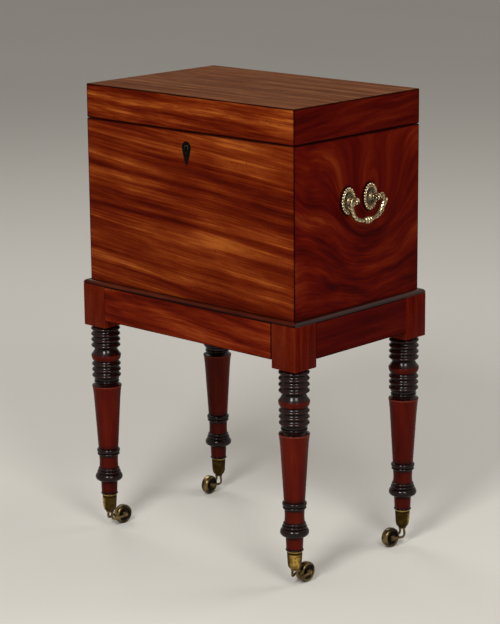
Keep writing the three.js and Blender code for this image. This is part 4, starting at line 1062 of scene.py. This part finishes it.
def bail_relief(share, angle):
    """Overlapping leaves that run from the collar up to the shoulders."""
    along = abs(share - 0.5) * 2
    lobes = math.cos(4 * angle + 1.6)
    scale = (along * 13 + 0.22 * lobes) % 1.0
    lift = min(scale / 0.2, 1.0) * (1.15 - 0.35 * scale)
    return 0.82 + 0.2 * lift, min(1.0, 1.25 * max(0.0, 1 - scale / 0.4) + 0.55 * (0.5 - 0.5 * lobes))


def leaf_relief(_, angle):
    return 0.92 + 0.1 * math.cos(4 * angle), 0.3 - 0.3 * math.cos(4 * angle)


def make_bail(side, root):
    """The swinging bow of leaves with a triple collar, a pin at each end and a leaf on each shoulder."""
    bm = new_mesh()
    half = [(0.79, 0.03, 0.2), (0.8, -0.1, 0.27), (0.86, -0.19, 0.33), (0.94, -0.19, 0.38),
            (1.0, -0.08, 0.48), (1.02, 0.1, 0.68), (1.0, 0.28, 0.9), (0.95, 0.46, 1.0), (0.85, 0.67, 0.97),
            (0.67, 0.84, 0.88), (0.45, 0.94, 0.78), (0.18, 0.995, 0.68), (0.0, 1.0, 0.64)]
    path = smooth_path(half, 11)
    whole = path + [(-across, down, thick) for across, down, thick in reversed(path[:-1])]
    stations = []
    for across, down, thick in whole:
        at = Vector((0, across * SPAN, -down * DROP))
        stations.append((at, X, thick * THICK, thick * THICK, 0.0))
    tube(bm, stations, 24, root, relief=bail_relief)
    low = root @ Matrix.Translation((0, 0, -DROP)) @ Matrix.Rotation(-math.pi / 2, 4, "X")
    collar = [(0, -8.0, 1.0), (2.6, -8.0, 1.0)]
    for centre, width, crest in ((-5.6, 2.8, 5.2), (0.0, 4.2, 5.8), (5.6, 2.8, 5.2)):
        for k in range(9):
            t = k / 8
            radius = 3.7 + (crest - 3.7) * math.sin(math.pi * t) ** 0.7
            collar.append((radius, centre + (t - 0.5) * width, 0.7 * abs(2 * t - 1) ** 2))
        if centre < 5:
            collar.append((3.5, centre + width / 2 + 0.7, 1.0))
    collar += [(2.6, 8.0, 1.0), (0, 8.0, 1.0)]
    lathe(bm, collar, 32, low)
    for sign in (-1, 1):
        inner, outer = POST_SPACING / 2 - 5.6, SPAN
        pin = root @ Matrix.Rotation(-sign * math.pi / 2, 4, "X")
        pin_profile = [
            (0, inner - 0.6, 0.4), (1.2, inner - 0.4, 0.1), (1.7, inner + 0.4, 0.2), (1.5, inner + 1.2, 0.8),
            (1.5, inner + 9.2, 0.9), (2.5, inner + 10.0, 0.2), (2.8, inner + 11.0, 0.0),
            (2.2, inner + 12.0, 0.5), (2.0, outer, 0.5), (0, outer, 0.5)]
        lathe(bm, pin_profile, 20, pin)
        leaf = [(-0.25, 0.58, 0.5, 0.45), (0.1, 0.42, 0.9, 0.45), (0.45, 0.3, 0.85, 0.36),
                (0.8, 0.22, 0.62, 0.3), (1.0, 0.12, 0.3, 0.22)]
        stations = []
        for out, down, wide, thick in smooth_path(leaf, 6):
            at = Vector((0, sign * (SPAN + out * 8.6), -down * DROP))
            stations.append((at, X, thick * THICK, wide * THICK, 0.0))
        tube(bm, stations, 16, root, relief=leaf_relief)
    piece(f"swan_bail_{side}", bm, [handle_brass], f"bail_{side}", [f"handle_bail_{side}"],
          crease=50)


make_fixings()
make_handle("left", -1)
make_handle("right", 1)


# Stage


def make_floor():
    bm = bmesh.new()
    bmesh.ops.create_grid(bm, x_segments=1, y_segments=1, size=30)
    mesh = bpy.data.meshes.new("floor")
    bm.to_mesh(mesh)
    bm.free()
    g = Graph("pale_floor")
    pale = g.mix(g.noise(g.place, 0.8, 2.0), (0.6, 0.575, 0.52), (0.64, 0.615, 0.56))
    mesh.materials.append(g.finish(pale, 0.9, specular_ior_level=0.1))
    floor = bpy.data.objects.new("floor", mesh)
    bpy.context.scene.collection.objects.link(floor)


make_camera()
make_world()
make_floor()
make_lamp("key", 20, 38, 3.4, (0.7, 1.0), 67)
make_lamp("fill", 63, 36, 3.4, (0.9, 1.0), 39)
make_lamp("rim", 150, 40, 3.6, (1.6, 1.0), 26, False)
make_lamp("back", -110, 42, 3.6, (1.6, 1.0), 22)
bpy.context.scene.view_settings.view_transform = "Standard"
